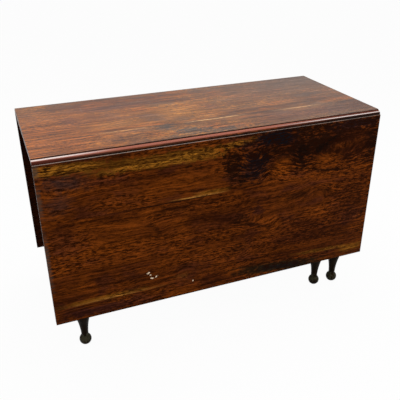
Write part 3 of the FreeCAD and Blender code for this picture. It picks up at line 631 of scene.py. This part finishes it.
UPPER_KNOTS = (
    Knot((0.420, 0.585), (0.110, 0.036), push=0.050),
    Knot((0.290, 0.590), (0.034, 0.050), push=0.014),
    Knot((0.105, 0.610), (0.050, 0.050), push=0.030, tilt=15),
    Knot((0.165, 0.560), (0.040, 0.034), push=-0.022, tilt=-20),
    Knot((-0.535, 0.600), (0.070, 0.050), push=0.014),
)
UPPER_MARKS = (
    Mark("umber", 0.85, (0.340, 0.645), (0.37, 0.12), tilt=-4, soft=0.6, fray=0.5),
    Mark("bark", 0.75, (0.350, 0.645), (0.34, 0.09), tilt=-4, soft=0.4, fray=2.4),
    Mark("amber", 0.5, (-0.200, 0.570), (0.28, 0.055), soft=0.9),
    Mark("olive", 0.95, (-0.215, 0.668), (0.27, 0.028), soft=0.5, fray=0.8),
    Mark("olive", 0.9, (-0.500, 0.684), (0.16, 0.022), tilt=-2, soft=0.5, fray=0.8),
    Mark("olive", 0.6, (0.030, 0.683), (0.10, 0.015), tilt=7),
    Mark("umber", 0.6, (-0.300, 0.676), (0.32, 0.024), soft=0.3, fray=2.6),
    Mark("slate", 0.75, (-0.515, 0.640), (0.11, 0.036), tilt=-6, soft=1.0, fray=0.6),
    Mark("plum", 0.5, (-0.400, 0.628), (0.10, 0.018), tilt=-3),
    Mark("slate", 0.6, (-0.545, 0.575), (0.06, 0.050), tilt=20, soft=1.0),
    Mark("bark", 0.85, (0.030, 0.605), (0.040, 0.085), tilt=8, soft=0.6, fray=1.4),
    Mark("bark", 0.8, (0.122, 0.596), (0.060, 0.065), tilt=-20, soft=0.6, fray=1.4),
    Mark("ink", 0.8, (0.105, 0.592), (0.072, 0.070), tilt=-20, soft=0.8, fray=0.9),
    Mark("ink", 0.6, (0.095, 0.676), (0.060, 0.022), tilt=-4, soft=0.8, fray=1.4),
    Mark("bark", 0.6, (0.054, 0.545), (0.034, 0.030), soft=0.8, fray=1.4),
    Mark("ink", 1.0, (0.190, 0.684), (0.090, 0.034), tilt=-6, soft=0.5),
    Mark("amber", 0.85, (0.215, 0.572), (0.044, 0.046)),
    Mark("bark", 0.9, (0.285, 0.590), (0.034, 0.056), tilt=6, soft=0.6, fray=1.2),
    Mark("bark", 1.0, (0.285, 0.629), (0.030, 0.018), tilt=10, soft=0.6, fray=0.8),
    Mark("amber", 0.8, (0.405, 0.576), (0.075, 0.030)),
    Mark("amber", 0.7, (0.485, 0.620), (0.10, 0.020), tilt=4),
    Mark("bark", 0.9, (0.400, 0.642), (0.11, 0.016), tilt=28, soft=0.6),
    Mark("bark", 0.9, (0.485, 0.638), (0.040, 0.024), soft=0.8, fray=0.9),
    Mark("bark", 0.85, (0.480, 0.572), (0.036, 0.020), soft=0.8, fray=1.0),
    Mark("bark", 0.9, (0.410, 0.531), (0.12, 0.010), tilt=-6),
    Mark("ink", 0.9, (0.515, 0.690), (0.15, 0.026), soft=0.6, fray=0.9),
    Mark("umber", 0.85, (0.520, 0.620), (0.15, 0.110), soft=0.8, fray=1.2),
    Mark("bark", 0.75, (0.590, 0.610), (0.060, 0.110), soft=0.9, fray=1.0),
    Mark("olive", 0.6, (-0.050, 0.528), (0.08, 0.010), soft=0.8, fray=0.3),
    Mark("sapwood", 0.95, (-0.090, LEAF_JOINT + 0.0055), (0.125, 0.0036), soft=0.8, fray=0.12),
)
LOWER_KNOTS = (
    Knot((0.370, 0.462), (0.080, 0.038), push=-0.036, tilt=10),
    Knot((0.042, 0.262), (0.050, 0.026), push=0.013, tilt=20),
    Knot((-0.150, 0.258), (0.045, 0.024), push=-0.013),
    Knot((-0.240, 0.430), (0.070, 0.022), push=0.009, tilt=-45),
    Knot((0.100, 0.372), (0.120, 0.030), push=0.025, tilt=-17),
)
LOWER_MARKS = (
    Mark("amber", 0.4, (-0.420, 0.400), (0.20, 0.090), soft=0.9),
    Mark("umber", 0.75, (0.320, 0.250), (0.34, 0.130), soft=0.9, fray=0.3),
    Mark("umber", 0.5, (0.000, 0.410), (0.18, 0.110), soft=0.9),
    Mark("plum", 0.4, (-0.540, 0.450), (0.07, 0.070)),
    Mark("bark", 0.6, (-0.170, 0.488), (0.11, 0.022), soft=0.9),
    Mark("bark", 0.5, (-0.240, 0.425), (0.050, 0.012), tilt=-52, soft=0.8, fray=1.4),
    Mark("amber", 0.5, (-0.330, 0.400), (0.09, 0.030), tilt=-6),
    Mark("bark", 0.7, (0.100, 0.372), (0.12, 0.010), tilt=-17),
    Mark("bark", 0.65, (0.290, 0.450), (0.07, 0.022), tilt=2),
    Mark("bark", 0.4, (0.405, 0.450), (0.030, 0.034), soft=0.9, fray=1.4),
    Mark("umber", 0.6, (0.310, 0.325), (0.12, 0.024), tilt=-8),
    Mark("plum", 0.5, (0.530, 0.320), (0.08, 0.045)),
    Mark("bark", 0.6, (0.045, 0.280), (0.085, 0.030), tilt=15, soft=1.0, fray=0.5),
    Mark("bark", 0.6, (0.059, 0.406), (0.036, 0.022), soft=0.8, fray=1.4),
    Mark("plum", 0.7, (0.128, 0.424), (0.030, 0.030), soft=0.8, fray=1.4),
    Mark("bark", 0.5, (-0.150, 0.258), (0.036, 0.022), soft=0.9),
    Mark("umber", 0.7, (0.540, 0.420), (0.14, 0.130), soft=0.9),
    Mark("amber", 0.4, (0.300, 0.236), (0.26, 0.022), tilt=-2, soft=0.9),
    Mark("umber", 0.7, (-0.040, 0.180), (0.08, 0.038), soft=0.8, fray=1.0),
    Mark("shade", 0.95, (0.230, 0.163), (0.25, 0.030), tilt=-6, soft=0.6, fray=0.5),
    Mark("ink", 0.7, (0.240, 0.162), (0.15, 0.018), tilt=-6, soft=0.8, fray=0.6),
    Mark("olive", 0.5, (0.430, 0.192), (0.17, 0.010), tilt=-3),
    Mark("olive", 0.55, (0.545, 0.174), (0.070, 0.020)),
    Mark("plum", 0.8, (-0.450, 0.163), (0.18, 0.022), soft=0.6),
    Mark("olive", 0.6, (-0.440, 0.206), (0.20, 0.012), soft=0.9, fray=0.5),
    Mark("sapwood", 0.42, (-0.400, 0.2000), (0.22, 0.0052), soft=0.8, fray=0.3),
    Mark("bark", 0.7, (-0.480, 0.1895), (0.15, 0.0020), soft=0.8, fray=0.2),
)
JOINT_GRIME = (Mark("grime", 0.9, (-0.190, LEAF_JOINT + 0.0005), (0.24, 0.0030), soft=0.7, fray=0.0),)
UPPER_WEAR_AND_LIGHT = JOINT_GRIME + (
    # A dark line just below the lip
    Mark("grime", 0.8, (0.0, LEAF_LIP - 0.0043), (PAST_ENDS, 0.0014), soft=0.8, fray=0.0),
    # A pale line along the upper lip: painted highlight over its wear, stronger towards the left end
    Mark("lip", 0.3, (0.0, LEAF_LIP + 0.0007), (PAST_ENDS, 0.0018), soft=0.6, fray=0.15),
    Mark("lip", 0.6, (-END, LEAF_LIP + 0.0007), (0.90, 0.0018), soft=0.9, fray=0.1),
)
LOWER_WEAR_AND_SHADE = JOINT_GRIME + (
    # Painted shade along the lower edge of the leaf
    Mark("grime", 0.85, (0.0, LEAF_FOOT + 0.0005), (PAST_ENDS, 0.0036), soft=0.6, fray=0.0),
)
DUSTY_END = (
    Mark("dust", 0.6, (-0.594, 0.690), (0.014, 0.030), soft=0.9, fray=0.4),
    Mark("dust", 0.55, (-0.597, 0.590), (0.013, 0.070), soft=0.9, fray=0.6),
    Mark("dust", 0.6, (-0.598, 0.380), (0.013, 0.140), soft=0.9, fray=0.5),
)
PAINT_SPLASHES = (
    Mark("paint", 0.9, (-0.279, 0.263), (0.0060, 0.0030), tilt=30, soft=0.4, fray=0.0, specks=2.0),
    Mark("paint", 0.7, (-0.272, 0.254), (0.0030, 0.0026), soft=0.4, fray=0.0, specks=2.0),
    Mark("paint", 0.9, (-0.268, 0.240), (0.0062, 0.0030), tilt=-15, soft=0.4, fray=0.0, specks=2.0),
    Mark("paint", 0.8, (-0.252, 0.243), (0.0060, 0.0026), tilt=30, soft=0.4, fray=0.0, specks=2.0),
    Mark("sapwood", 0.12, (-0.158, 0.221), (0.016, 0.007), soft=0.3, fray=0.0, specks=7.0),
    Mark("paint", 0.7, (-0.118, 0.190), (0.003, 0.004), soft=0.4, fray=0.0, specks=1.5),
)

TOP_BACK_MARKS = (
    Mark("sunned_orange", 0.85, (-END, -0.050), (0.55, 0.380), soft=1.0, fray=0.3),
    Mark("sunned_grey", 1.0, (0.560, 0.200), (0.72, 0.440), soft=1.0, fray=0.3),
    Mark("sunned_dark", 0.45, (-0.480, 0.190), (0.30, 0.090), soft=0.9, fray=0.6),
    Mark("sunned_plum", 0.5, (-0.300, 0.130), (0.18, 0.050), tilt=-4, soft=0.9),
    Mark("sunned_light", 0.9, (-0.055, -0.005), (0.13, 0.120), soft=0.9),
    Mark("sunned_light", 0.6, (-0.300, -0.060), (0.16, 0.050), soft=0.9, fray=0.9),
    Mark("sunned_plum", 0.65, (-0.445, 0.035), (0.045, 0.060), soft=0.9),
    Mark("sunned_plum", 0.6, (0.065, 0.005), (0.035, 0.035), soft=0.9),
    Mark("sunned_sap", 0.5, (0.480, 0.118), (0.08, 0.006), soft=0.9),
    Mark("sunned_grey", 0.7, (0.0, HINGE_LINE + 0.001), (PAST_ENDS, 0.016), soft=0.9, fray=0.1),
)
TOP_FRONT_MARKS = (
    Mark("sunned_orange", 0.85, (-END, -0.150), (0.52, 0.300), soft=1.0, fray=0.3),
    Mark("sunned_grey", 0.85, (0.640, -0.150), (0.80, 0.420), soft=1.0, fray=0.3),
    Mark("sunned_orange", 0.8, (-0.470, -0.185), (0.09, 0.045), soft=0.9, fray=0.5),
    Mark("sunned_dark", 0.6, (-0.280, -0.200), (0.11, 0.045), soft=0.9),
    Mark("sunned_blue", 0.9, (-0.155, -0.140), (0.05, 0.040), soft=0.9, fray=1.0),
    Mark("sunned_blue", 0.95, (-0.090, -0.205), (0.09, 0.050), soft=0.9, fray=1.0),
    Mark("sunned_blue", 0.75, (0.010, -0.235), (0.11, 0.034), soft=0.9, fray=1.0),
    Mark("sunned_plum", 0.6, (0.350, -0.190), (0.28, 0.060), soft=0.9),
    Mark("sunned_dark", 0.8, (0.590, -0.180), (0.15, 0.100), soft=0.9),
    Mark("sunned_sap", 1.0, (0.025, TOP_JOINT - 0.0115), (0.14, 0.0075), soft=0.7, fray=0.12),
    Mark("sunned_sap", 0.8, (0.350, TOP_JOINT - 0.0095), (0.13, 0.0065), soft=0.8, fray=0.2),
    Mark("sunned_sap", 0.4, (-0.300, TOP_JOINT - 0.0090), (0.16, 0.0060), soft=0.6, fray=0.4),
)
SCRATCH = (Mark("arris", 0.5, (-0.382, 0.140), (0.0015, 0.036), soft=0.7, fray=0.0),)
# A painted highlight in patches round the upper part of each ball foot
FOOT_HIGHLIGHTS = (Mark("scuff", 0.42, (0.031, 0.0), (0.012, PAST_LEGS), soft=0.8, fray=3.0),)


def round_grime_and_light_bands(side):
    """Dirt and painted shade in the fillet of the rule joint, a painted highlight over its round and dirt
    and painted shade in the gap at its foot, at one edge.
    """
    bands = (
        # Dirt and painted shade in the fillet, the painted highlight, dirt and painted shade in the gap
        ("grime", 0.9, 0.0001, 0.0010),
        ("salmon", 0.85, 0.0052, 0.0054),
        ("grime", 0.9, 0.0128, 0.0016),
    )
    return tuple(
        Mark(tone_name, weight, (0.0, side * (HINGE_LINE + out)), (PAST_ENDS, half), soft=0.4, fray=0.0)
        for tone_name, weight, out, half in bands
    )


# Painted light at the ends of the front round: a painted highlight near the left end, painted shade on the
# lower round at both ends, and a thin painted highlight over painted shade at the right end
ROUND_END_HIGHLIGHTS_AND_SHADE = (
    Mark("gleam", 0.95, (-0.590, -HINGE_LINE - 0.0042), (0.26, 0.0040), soft=0.8, fray=0.0),
    Mark("round", 0.9, (-END, -HINGE_LINE - 0.0104), (0.16, 0.0032), soft=0.7, fray=0.0),
    Mark("round", 0.9, (END, -HINGE_LINE - 0.0060), (0.52, 0.0090), soft=0.8, fray=0.0),
    Mark("gleam", 0.85, (0.540, -HINGE_LINE - 0.0076), (0.42, 0.0019), soft=0.8, fray=0.0),
    Mark("grime", 0.95, (END, -HINGE_LINE - 0.0115), (0.46, 0.0028), soft=0.7, fray=0.0),
)

# How much further along the table the figure of the back leaf lies
BACK_SHIFT = 0.14


def turned(spots):
    """The knots or marks of a board that is laid the other way round, a little further along."""
    return tuple(
        spot._replace(middle=(BACK_SHIFT - spot.middle[0], spot.middle[1]), tilt=-spot.tilt)
        for spot in spots
    )


TOP_BOARDS = {
    "top_front_board": Board(
        (0.7, 0.3, 0.1), Figure(marks=TOP_FRONT_MARKS), round_grime_and_light_bands(-1) + ROUND_END_HIGHLIGHTS_AND_SHADE,
    ),
    "top_back_board": Board(
        (3.1, 1.9, 0.6), Figure(marks=TOP_BACK_MARKS, wear=SCRATCH), round_grime_and_light_bands(1),
    ),
}
LEAF_BOARDS = {
    "leaf_upper_board_front": Board(
        (0.0, 0.4, 0.2), Figure(UPPER_KNOTS, UPPER_MARKS, UPPER_WEAR_AND_LIGHT + DUSTY_END),
    ),
    "leaf_lower_board_front": Board(
        (2.3, 2.7, 0.2), Figure(LOWER_KNOTS, LOWER_MARKS, LOWER_WEAR_AND_SHADE + DUSTY_END + PAINT_SPLASHES),
    ),
    "leaf_upper_board_back": Board(
        (6.2, 1.1, 0.2), Figure(turned(UPPER_KNOTS), turned(UPPER_MARKS), turned(UPPER_WEAR_AND_LIGHT)),
    ),
    "leaf_lower_board_back": Board(
        (8.4, 3.6, 0.2), Figure(turned(LOWER_KNOTS), turned(LOWER_MARKS), turned(LOWER_WEAR_AND_SHADE)),
    ),
}

TOP_GROUND = Ground("sunned_dark", "sunned", "sunned_light", warm="sunned_orange", cool="sunned_grey")
LEAF_GROUND = Ground("umber", "heart", "amber", warm="amber", cool="plum")
LEG_GROUND = Ground("bark", "leg", "leg_light", warm="leg_light", cool="bark")
RAIL_GROUND = Ground("bark", "umber", "heart", warm="heart", cool="plum")
CARCASE_GROUND = Ground(
    "carcase_dark", "carcase", "carcase_light", warm="carcase_light", cool="carcase_dark",
)
PEG_GROUND = Ground("carcase_dark", "peg", "carcase_light", warm="carcase_light", cool="carcase")

TOP_GRAIN = Grain(lines=6.5, flecks=0.7, mottle=0.35, bands=0.8, tint=0.75, clouds=1.3, fine=2.3)
RAIL_GRAIN = Grain(lines=2.4, flecks=0.4, bands=0.8, fine=1.0)

LEAF_HAZE = (1.0, 0.42, 0.10)
TOP_POLISH = Polish(gloss=0.08, rough=0.34)
ROUND_POLISH = Polish(gloss=0.06, haze=(1.0, 0.7, 0.6))
LEAF_POLISH = Polish(gloss=0.014, haze=LEAF_HAZE)
LEG_POLISH = Polish(gloss=0.03, rough=0.3, haze=(1.0, 0.7, 0.45))
RAIL_POLISH = Polish(haze=LEAF_HAZE)
UNPOLISHED = Polish(gloss=0.1, rough=0.6)

# Gaps over which loose triangles are joined
MERGE_GAP = 1e-5
SCREW_MERGE_GAP = 1e-6

# Angles between faces that count as flat, that shade smooth and that make an arris
FLAT_ANGLE = math.radians(0.5)
SMOOTH_ANGLE = math.radians(32)
ARRIS_ANGLE = math.radians(35)

# Lengths above which an arris is eased
BOARD_ARRIS = 0.1
FRAME_ARRIS = 0.03
BLOCK_ARRIS = 0.015
FLAP_ARRIS = 0.008

ARRIS_SEGMENTS = 3

# How near an end of an edge is to a face that it lies on
ON_FACE = 1e-4

# A screw's head is a flat face with more sides than this, and nearly as large as the largest
ROUND_SIDES = 8
HEAD_SHARE = 0.9

# The slots of the screws, as shares of a head's radius, and their turn from screw to screw
SLOT_STOP = 0.08
SLOT_HALF = 0.11
SLOT_DEPTH = 0.22
SLOT_TURN = math.radians(67)


def merged_copy(node, gap):
    """Copy a node's mesh, join its loose triangles and take the edges out of its flat faces."""
    shape = bmesh.new()
    shape.from_mesh(frame["nodes"][node].data)
    bmesh.ops.remove_doubles(shape, verts=shape.verts, dist=gap)
    bmesh.ops.dissolve_limit(shape, angle_limit=FLAT_ANGLE, verts=shape.verts, edges=shape.edges)
    return shape


def shaded_mesh(shape, name):
    """Make a shape into a mesh that is shaded smooth but for its sharp edges."""
    for face in shape.faces:
        face.smooth = True
    for edge in shape.edges:
        edge.smooth = edge.is_manifold and edge.calc_face_angle() < SMOOTH_ANGLE
    mesh = bpy.data.meshes.new(name)
    shape.to_mesh(mesh)
    shape.free()
    return mesh


def on_face(edge, glued):
    """Whether both ends of an edge lie on a face that is given by its axis and its place along it."""
    if glued is None:
        return False
    axis, place = glued
    return all(abs(vert.co[axis] - place) < ON_FACE for vert in edge.verts)


def eased(node, arris, shortest, glued=None):
    """Copy a node and round its long arrises, but none that lies on a glued face."""
    shape = merged_copy(node, MERGE_GAP)
    sharp = [edge for edge in shape.edges if edge.is_manifold and edge.calc_face_angle() > ARRIS_ANGLE]
    long = [edge for edge in sharp if edge.calc_length() > shortest and not on_face(edge, glued)]
    worn = shape.faces.layers.float.new(WORN)
    rounded = bmesh.ops.bevel(
        shape, geom=long, offset=arris, offset_type="OFFSET", affect="EDGES", segments=ARRIS_SEGMENTS,
        profile=0.5, clamp_overlap=True, material=-1,
    )
    for face in rounded["faces"]:
        face[worn] = 1.0
    return shaded_mesh(shape, node + "_eased")


def slotted(node):
    """Copy a node of screws and sink a slot into each head, turned further from screw to screw."""
    shape = merged_copy(node, SCREW_MERGE_GAP)
    discs = [face for face in shape.faces if len(face.verts) > ROUND_SIDES]
    widest = max(face.calc_area() for face in discs)
    heads = [face for face in discs if face.calc_area() > HEAD_SHARE * widest]
    radius = math.sqrt(widest / math.pi)
    for count, head in enumerate(heads):
        cut_slot(shape, head, radius, count * SLOT_TURN)
    return shaded_mesh(shape, node + "_slotted")


def cut_slot(shape, head, radius, turn):
    """Inset the face of one head, part a strip across its middle and sink the strip."""
    bmesh.ops.inset_individual(shape, faces=[head], thickness=SLOT_STOP * radius)
    middle = head.calc_center_median()
    normal = head.normal.copy()
    across = normal.orthogonal().normalized()
    across.rotate(Quaternion(normal, turn))
    pieces = [head]
    for side in (-1, 1):
        around_cut = set(pieces)
        for face in pieces:
            around_cut.update(face.edges, face.verts)
        wall = middle + across * (side * SLOT_HALF * radius)
        cut = bmesh.ops.bisect_plane(shape, geom=list(around_cut), plane_co=wall, plane_no=across)
        pieces = [part for part in cut["geom"] if isinstance(part, bmesh.types.BMFace)]
    strip = min(pieces, key=lambda face: (face.calc_center_median() - middle).length)
    bmesh.ops.inset_individual(shape, faces=[strip], thickness=0.0, depth=-SLOT_DEPTH * radius)


def dress(node, mesh, material):
    """Stand a finished piece in for a node, on the node's own body."""
    piece = bpy.data.objects.new(node + "_finished", mesh)
    bpy.context.scene.collection.objects.link(piece)
    mesh.materials.clear()
    mesh.materials.append(material)
    weighting = piece.modifiers.new("Flat faces", "WEIGHTED_NORMAL")
    weighting.keep_sharp = True
    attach(piece, frame["nodes"][node]["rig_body"])
    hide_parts(node)


def repaint(node, material):
    """Give a node that is kept as it is its finish."""
    mesh = frame["nodes"][node].data
    mesh.materials.clear()
    mesh.materials.append(material)


class TABLE_OT_top(bpy.types.Operator):
    """Finish the two boards of the top"""

    bl_idname = "table.top"
    bl_label = "Top"

    def execute(self, context):
        arris = context.scene.table_arrises.board
        for node, board in TOP_BOARDS.items():
            flat = wood(node, "XYZ", board.seed, TOP_GROUND, board.figure, TOP_GRAIN, TOP_POLISH, TOP_RAW)
            # The round of each board gets its own material, which holds painted highlights, painted shade
            # and dirt
            wear = Figure(wear=board.round_wear)
            rubbed = wood(node + "_round", "XYZ", board.seed, LEAF_GROUND, wear, polish=ROUND_POLISH)
            mesh = eased(node, arris, BOARD_ARRIS, glued=(ACROSS, TOP_JOINT))
            dress(node, mesh, flat)
            mesh.materials.append(rubbed)
            for face in mesh.polygons:
                face.material_index = int(abs(face.center.y) > ROUND_START)
        return {"FINISHED"}


class TABLE_OT_leaves(bpy.types.Operator):
    """Finish the two boards of each leaf"""

    bl_idname = "table.leaves"
    bl_label = "Leaves"

    def execute(self, context):
        arris = context.scene.table_arrises.board
        for node, board in LEAF_BOARDS.items():
            material = wood(
                node, "XZY", board.seed, LEAF_GROUND, board.figure, polish=LEAF_POLISH, raw=LEAF_RAW_AND_SHADE,
            )
            mesh = eased(node, arris, BOARD_ARRIS, glued=(UP, LEAF_JOINT))
            dress(node, mesh, material)
        return {"FINISHED"}


class TABLE_OT_legs(bpy.types.Operator):
    """Finish the corner legs and the gate legs"""

    bl_idname = "table.legs"
    bl_label = "Legs"

    def execute(self, context):
        arris = context.scene.table_arrises.leg
        # The feet get a painted highlight
        figure = Figure(wear=FOOT_HIGHLIGHTS)
        material = wood("leg_stain", "ZXY", (0, 0, 0), LEG_GROUND, figure, polish=LEG_POLISH)
        corners = [f"leg_{side}_{hand}" for side in SIDES for hand in HANDS]
        for node in corners + [f"gate_leg_{side}" for side in SIDES]:
            dress(node, eased(node, arris, FRAME_ARRIS), material)
        return {"FINISHED"}


class TABLE_OT_rails(bpy.types.Operator):
    """Finish the rails, the leaf stops and the glue blocks"""

    bl_idname = "table.rails"
    bl_label = "Rails"

    def execute(self, context):
        arris = context.scene.table_arrises.rail
        plain = {"grain": RAIL_GRAIN, "polish": UNPOLISHED}
        hidden = wood("rail_wood", "XZY", (5, 0, 0), CARCASE_GROUND, **plain)
        across = wood("cross_rail_wood", "YZX", (0, 3, 0), CARCASE_GROUND, **plain)
        shown = wood("end_rail_wood", "YZX", (0, 6, 0), RAIL_GROUND, grain=RAIL_GRAIN, polish=RAIL_POLISH)
        for kind in ("side_rail", "hinge_rail", "fly_rail", "leaf_stop"):
            for side in SIDES:
                node = f"{kind}_{side}"
                dress(node, eased(node, arris, FRAME_ARRIS), hidden)
        dress("glue_blocks", eased("glue_blocks", arris, BLOCK_ARRIS), hidden)
        dress("cross_rail", eased("cross_rail", arris, FRAME_ARRIS), across)
        for hand in HANDS:
            node = f"end_rail_{hand}"
            dress(node, eased(node, arris, FRAME_ARRIS), shown)
        return {"FINISHED"}


class TABLE_OT_pegs(bpy.types.Operator):
    """Finish the pegs of the mortise and tenon joints"""

    bl_idname = "table.pegs"
    bl_label = "Pegs"

    def execute(self, context):
        material = wood("peg_wood", "YXZ", (0, 0, 7), PEG_GROUND, polish=UNPOLISHED)
        for node in ("rail_pegs", "gate_pegs_front", "gate_pegs_back"):
            repaint(node, material)
        return {"FINISHED"}


# Patterns of the irons, and how strongly they show
SCALE = Pattern((90, 90, 90), detail=5, roughness=0.65)
BLOOM = Pattern((26, 26, 26), detail=4, roughness=0.6)
SCALE_RISE = (0.35, 0.65)
BLOOM_RISE = (0.42, 0.6)
SCALE_DARKNESS = 0.5
IRON_METALLIC = 0.85
IRON_ROUGHNESS = 0.42
RUST_ROUGHNESS = 0.3
IRON_BUMP = {"Strength": 0.25, "Distance": 0.0004}


def old_iron(name):
    """Forged iron with dark scale and brown rust."""
    palette = tones()
    paint = Paint(bpy.data.materials.new(name))
    point = paint.node("TexCoord", output="Object")
    scale = paint.noise(point, SCALE)
    rusted = paint.rise(paint.noise(point, BLOOM), *BLOOM_RISE)
    colour = paint.mix(rusted, palette.iron, palette.rust)
    colour = paint.mix(paint.rise(scale, *SCALE_RISE) * SCALE_DARKNESS, colour, palette.bark)
    return paint.finish(
        Base_Color=colour,
        Metallic=(1 - rusted) * IRON_METALLIC,
        Roughness=rusted * RUST_ROUGHNESS + IRON_ROUGHNESS,
        Normal=paint.node("Bump", None, {**IRON_BUMP, "Height": scale}),
    )


class TABLE_OT_irons(bpy.types.Operator):
    """Finish the hinges, the pins of the gates and the screws"""

    bl_idname = "table.irons"
    bl_label = "Irons"

    def execute(self, context):
        arris = context.scene.table_arrises.iron
        iron = old_iron("hinge_iron")
        screw = old_iron("screw_iron")
        screws = ["glue_block_screws", "hinge_rail_screws", "top_flap_screws"]
        for side in SIDES:
            screws.append(f"leaf_flap_screws_{side}")
            repaint(f"knuckle_pin_{side}", iron)
            for number in HINGES:
                repaint(f"hinge_pin_{side}_{number}", iron)
                for kind in ("top_flap", "leaf_flap"):
                    node = f"{kind}_{side}_{number}"
                    dress(node, eased(node, arris, FLAP_ARRIS), iron)
        for node in screws:
            dress(node, slotted(node), screw)
        return {"FINISHED"}


FLOOR_HALF = 14
FLOOR_GREY = (0.82, 0.82, 0.82)
FLOOR_WHITENESS = 0.96
SENSOR_WIDTH = 36


def seen(paint):
    """1 for rays from the camera and for mirrored or refracted ones, else 0."""
    kinds = ("Is Camera Ray", "Is Glossy Ray", "Is Transmission Ray")
    camera, glossy, through = (paint.node("LightPath", output=kind) for kind in kinds)
    return paint.maths("MAXIMUM", paint.maths("MAXIMUM", camera, glossy), through)


def lamp(name, place, aim, size, watts):
    """A soft oblong lamp."""
    data = bpy.data.lights.new(name, "AREA")
    data.shape = "RECTANGLE"
    data.size, data.size_y = size
    data.energy = watts
    made = bpy.data.objects.new(name, data)
    made.location = place
    made.rotation_euler = (Vector(aim) - Vector(place)).to_track_quat("-Z", "Y").to_euler()
    bpy.context.scene.collection.objects.link(made)


class TABLE_OT_stage(bpy.types.Operator):
    """Set the floor, the lamps and the camera"""

    bl_idname = "table.stage"
    bl_label = "Stage"

    def execute(self, context):
        stage = context.scene.table_stage
        context.scene.view_settings.view_transform = "Standard"
        self.floor(context)
        self.world(context, stage.ambient)
        lamp("overhead", place=(0.2, 0.5, 2.6), aim=(0, 0, 0.6), size=(2.6, 1.8), watts=stage.overhead)
        lamp("front", place=(0.4, -3.0, 2.2), aim=(0, 0, 0.4), size=(2.2, 1.6), watts=stage.front)
        self.camera(context, stage)
        return {"FINISHED"}

    def floor(self, context):
        """Lay a pale floor that looks white and keeps the table's shadow."""
        shape = bmesh.new()
        bmesh.ops.create_grid(shape, x_segments=1, y_segments=1, size=FLOOR_HALF)
        mesh = bpy.data.meshes.new("floor")
        shape.to_mesh(mesh)
        shape.free()
        paint = Paint(bpy.data.materials.new("pale_floor"))
        matt = paint.node("BsdfDiffuse", None, {"Color": FLOOR_GREY})
        white = paint.node("Emission", None, {"Color": WHITE, "Strength": 1})
        both = paint.node("MixShader", None, {0: seen(paint) * FLOOR_WHITENESS, 1: matt, 2: white})
        paint.node("OutputMaterial", None, {"Surface": both})
        mesh.materials.append(paint.owner)
        floor = bpy.data.objects.new("floor", mesh)
        context.scene.collection.objects.link(floor)

    def world(self, context, strength):
        """Light the table from all round, before a white background."""
        world = bpy.data.worlds.new("studio")
        context.scene.world = world
        paint = Paint(world)
        ambient = paint.node("Background", None, {"Color": WHITE, "Strength": strength})
        white = paint.node("Background", None, {"Color": WHITE, "Strength": 1})
        both = paint.node("MixShader", None, {0: seen(paint), 1: ambient, 2: white})
        paint.node("OutputWorld", None, {"Surface": both})

    def camera(self, context, stage):
        """Stand the camera in its place, turned, dipped and rolled."""
        data = bpy.data.cameras.new("view")
        data.sensor_width = SENSOR_WIDTH
        data.sensor_fit = "HORIZONTAL"
        data.lens = stage.lens
        ahead = Vector((
            math.sin(stage.turn) * math.cos(stage.dip),
            math.cos(stage.turn) * math.cos(stage.dip),
            -math.sin(stage.dip),
        ))
        right = Vector((math.cos(stage.turn), -math.sin(stage.turn), 0))
        up = right.cross(ahead)
        rolled_right = right * math.cos(stage.roll) + up * math.sin(stage.roll)
        rolled_up = up * math.cos(stage.roll) - right * math.sin(stage.roll)
        facing = Matrix((rolled_right, rolled_up, -ahead)).transposed()
        camera = bpy.data.objects.new("view", data)
        camera.matrix_world = Matrix.LocRotScale(Vector(stage.place), facing.to_quaternion(), None)
        context.scene.collection.objects.link(camera)
        context.scene.camera = camera


class TABLE_PT_panel(bpy.types.Panel):
    """Lists the steps that finish the table"""

    bl_idname = "TABLE_PT_panel"
    bl_label = "Drop-leaf table"
    bl_space_type = "VIEW_3D"
    bl_region_type = "UI"
    bl_category = "Table"

    def draw(self, context):
        for step in STEPS:
            self.layout.operator(step.bl_idname)


STEPS = (
    TABLE_OT_top,
    TABLE_OT_leaves,
    TABLE_OT_legs,
    TABLE_OT_rails,
    TABLE_OT_pegs,
    TABLE_OT_irons,
    TABLE_OT_stage,
)
CLASSES = (TableTones, TableArrises, TableStage, *STEPS, TABLE_PT_panel)


def register():
    for each in CLASSES:
        bpy.utils.register_class(each)
    bpy.types.Scene.table_tones = bpy.props.PointerProperty(type=TableTones)
    bpy.types.Scene.table_arrises = bpy.props.PointerProperty(type=TableArrises)
    bpy.types.Scene.table_stage = bpy.props.PointerProperty(type=TableStage)


def unregister():
    del bpy.types.Scene.table_stage
    del bpy.types.Scene.table_arrises
    del bpy.types.Scene.table_tones
    for each in reversed(CLASSES):
        bpy.utils.unregister_class(each)


def main():
    register()
    bpy.ops.table.top()
    bpy.ops.table.leaves()
    bpy.ops.table.legs()
    bpy.ops.table.rails()
    bpy.ops.table.pegs()
    bpy.ops.table.irons()
    bpy.ops.table.stage()


if __name__ == "__main__":
    main()
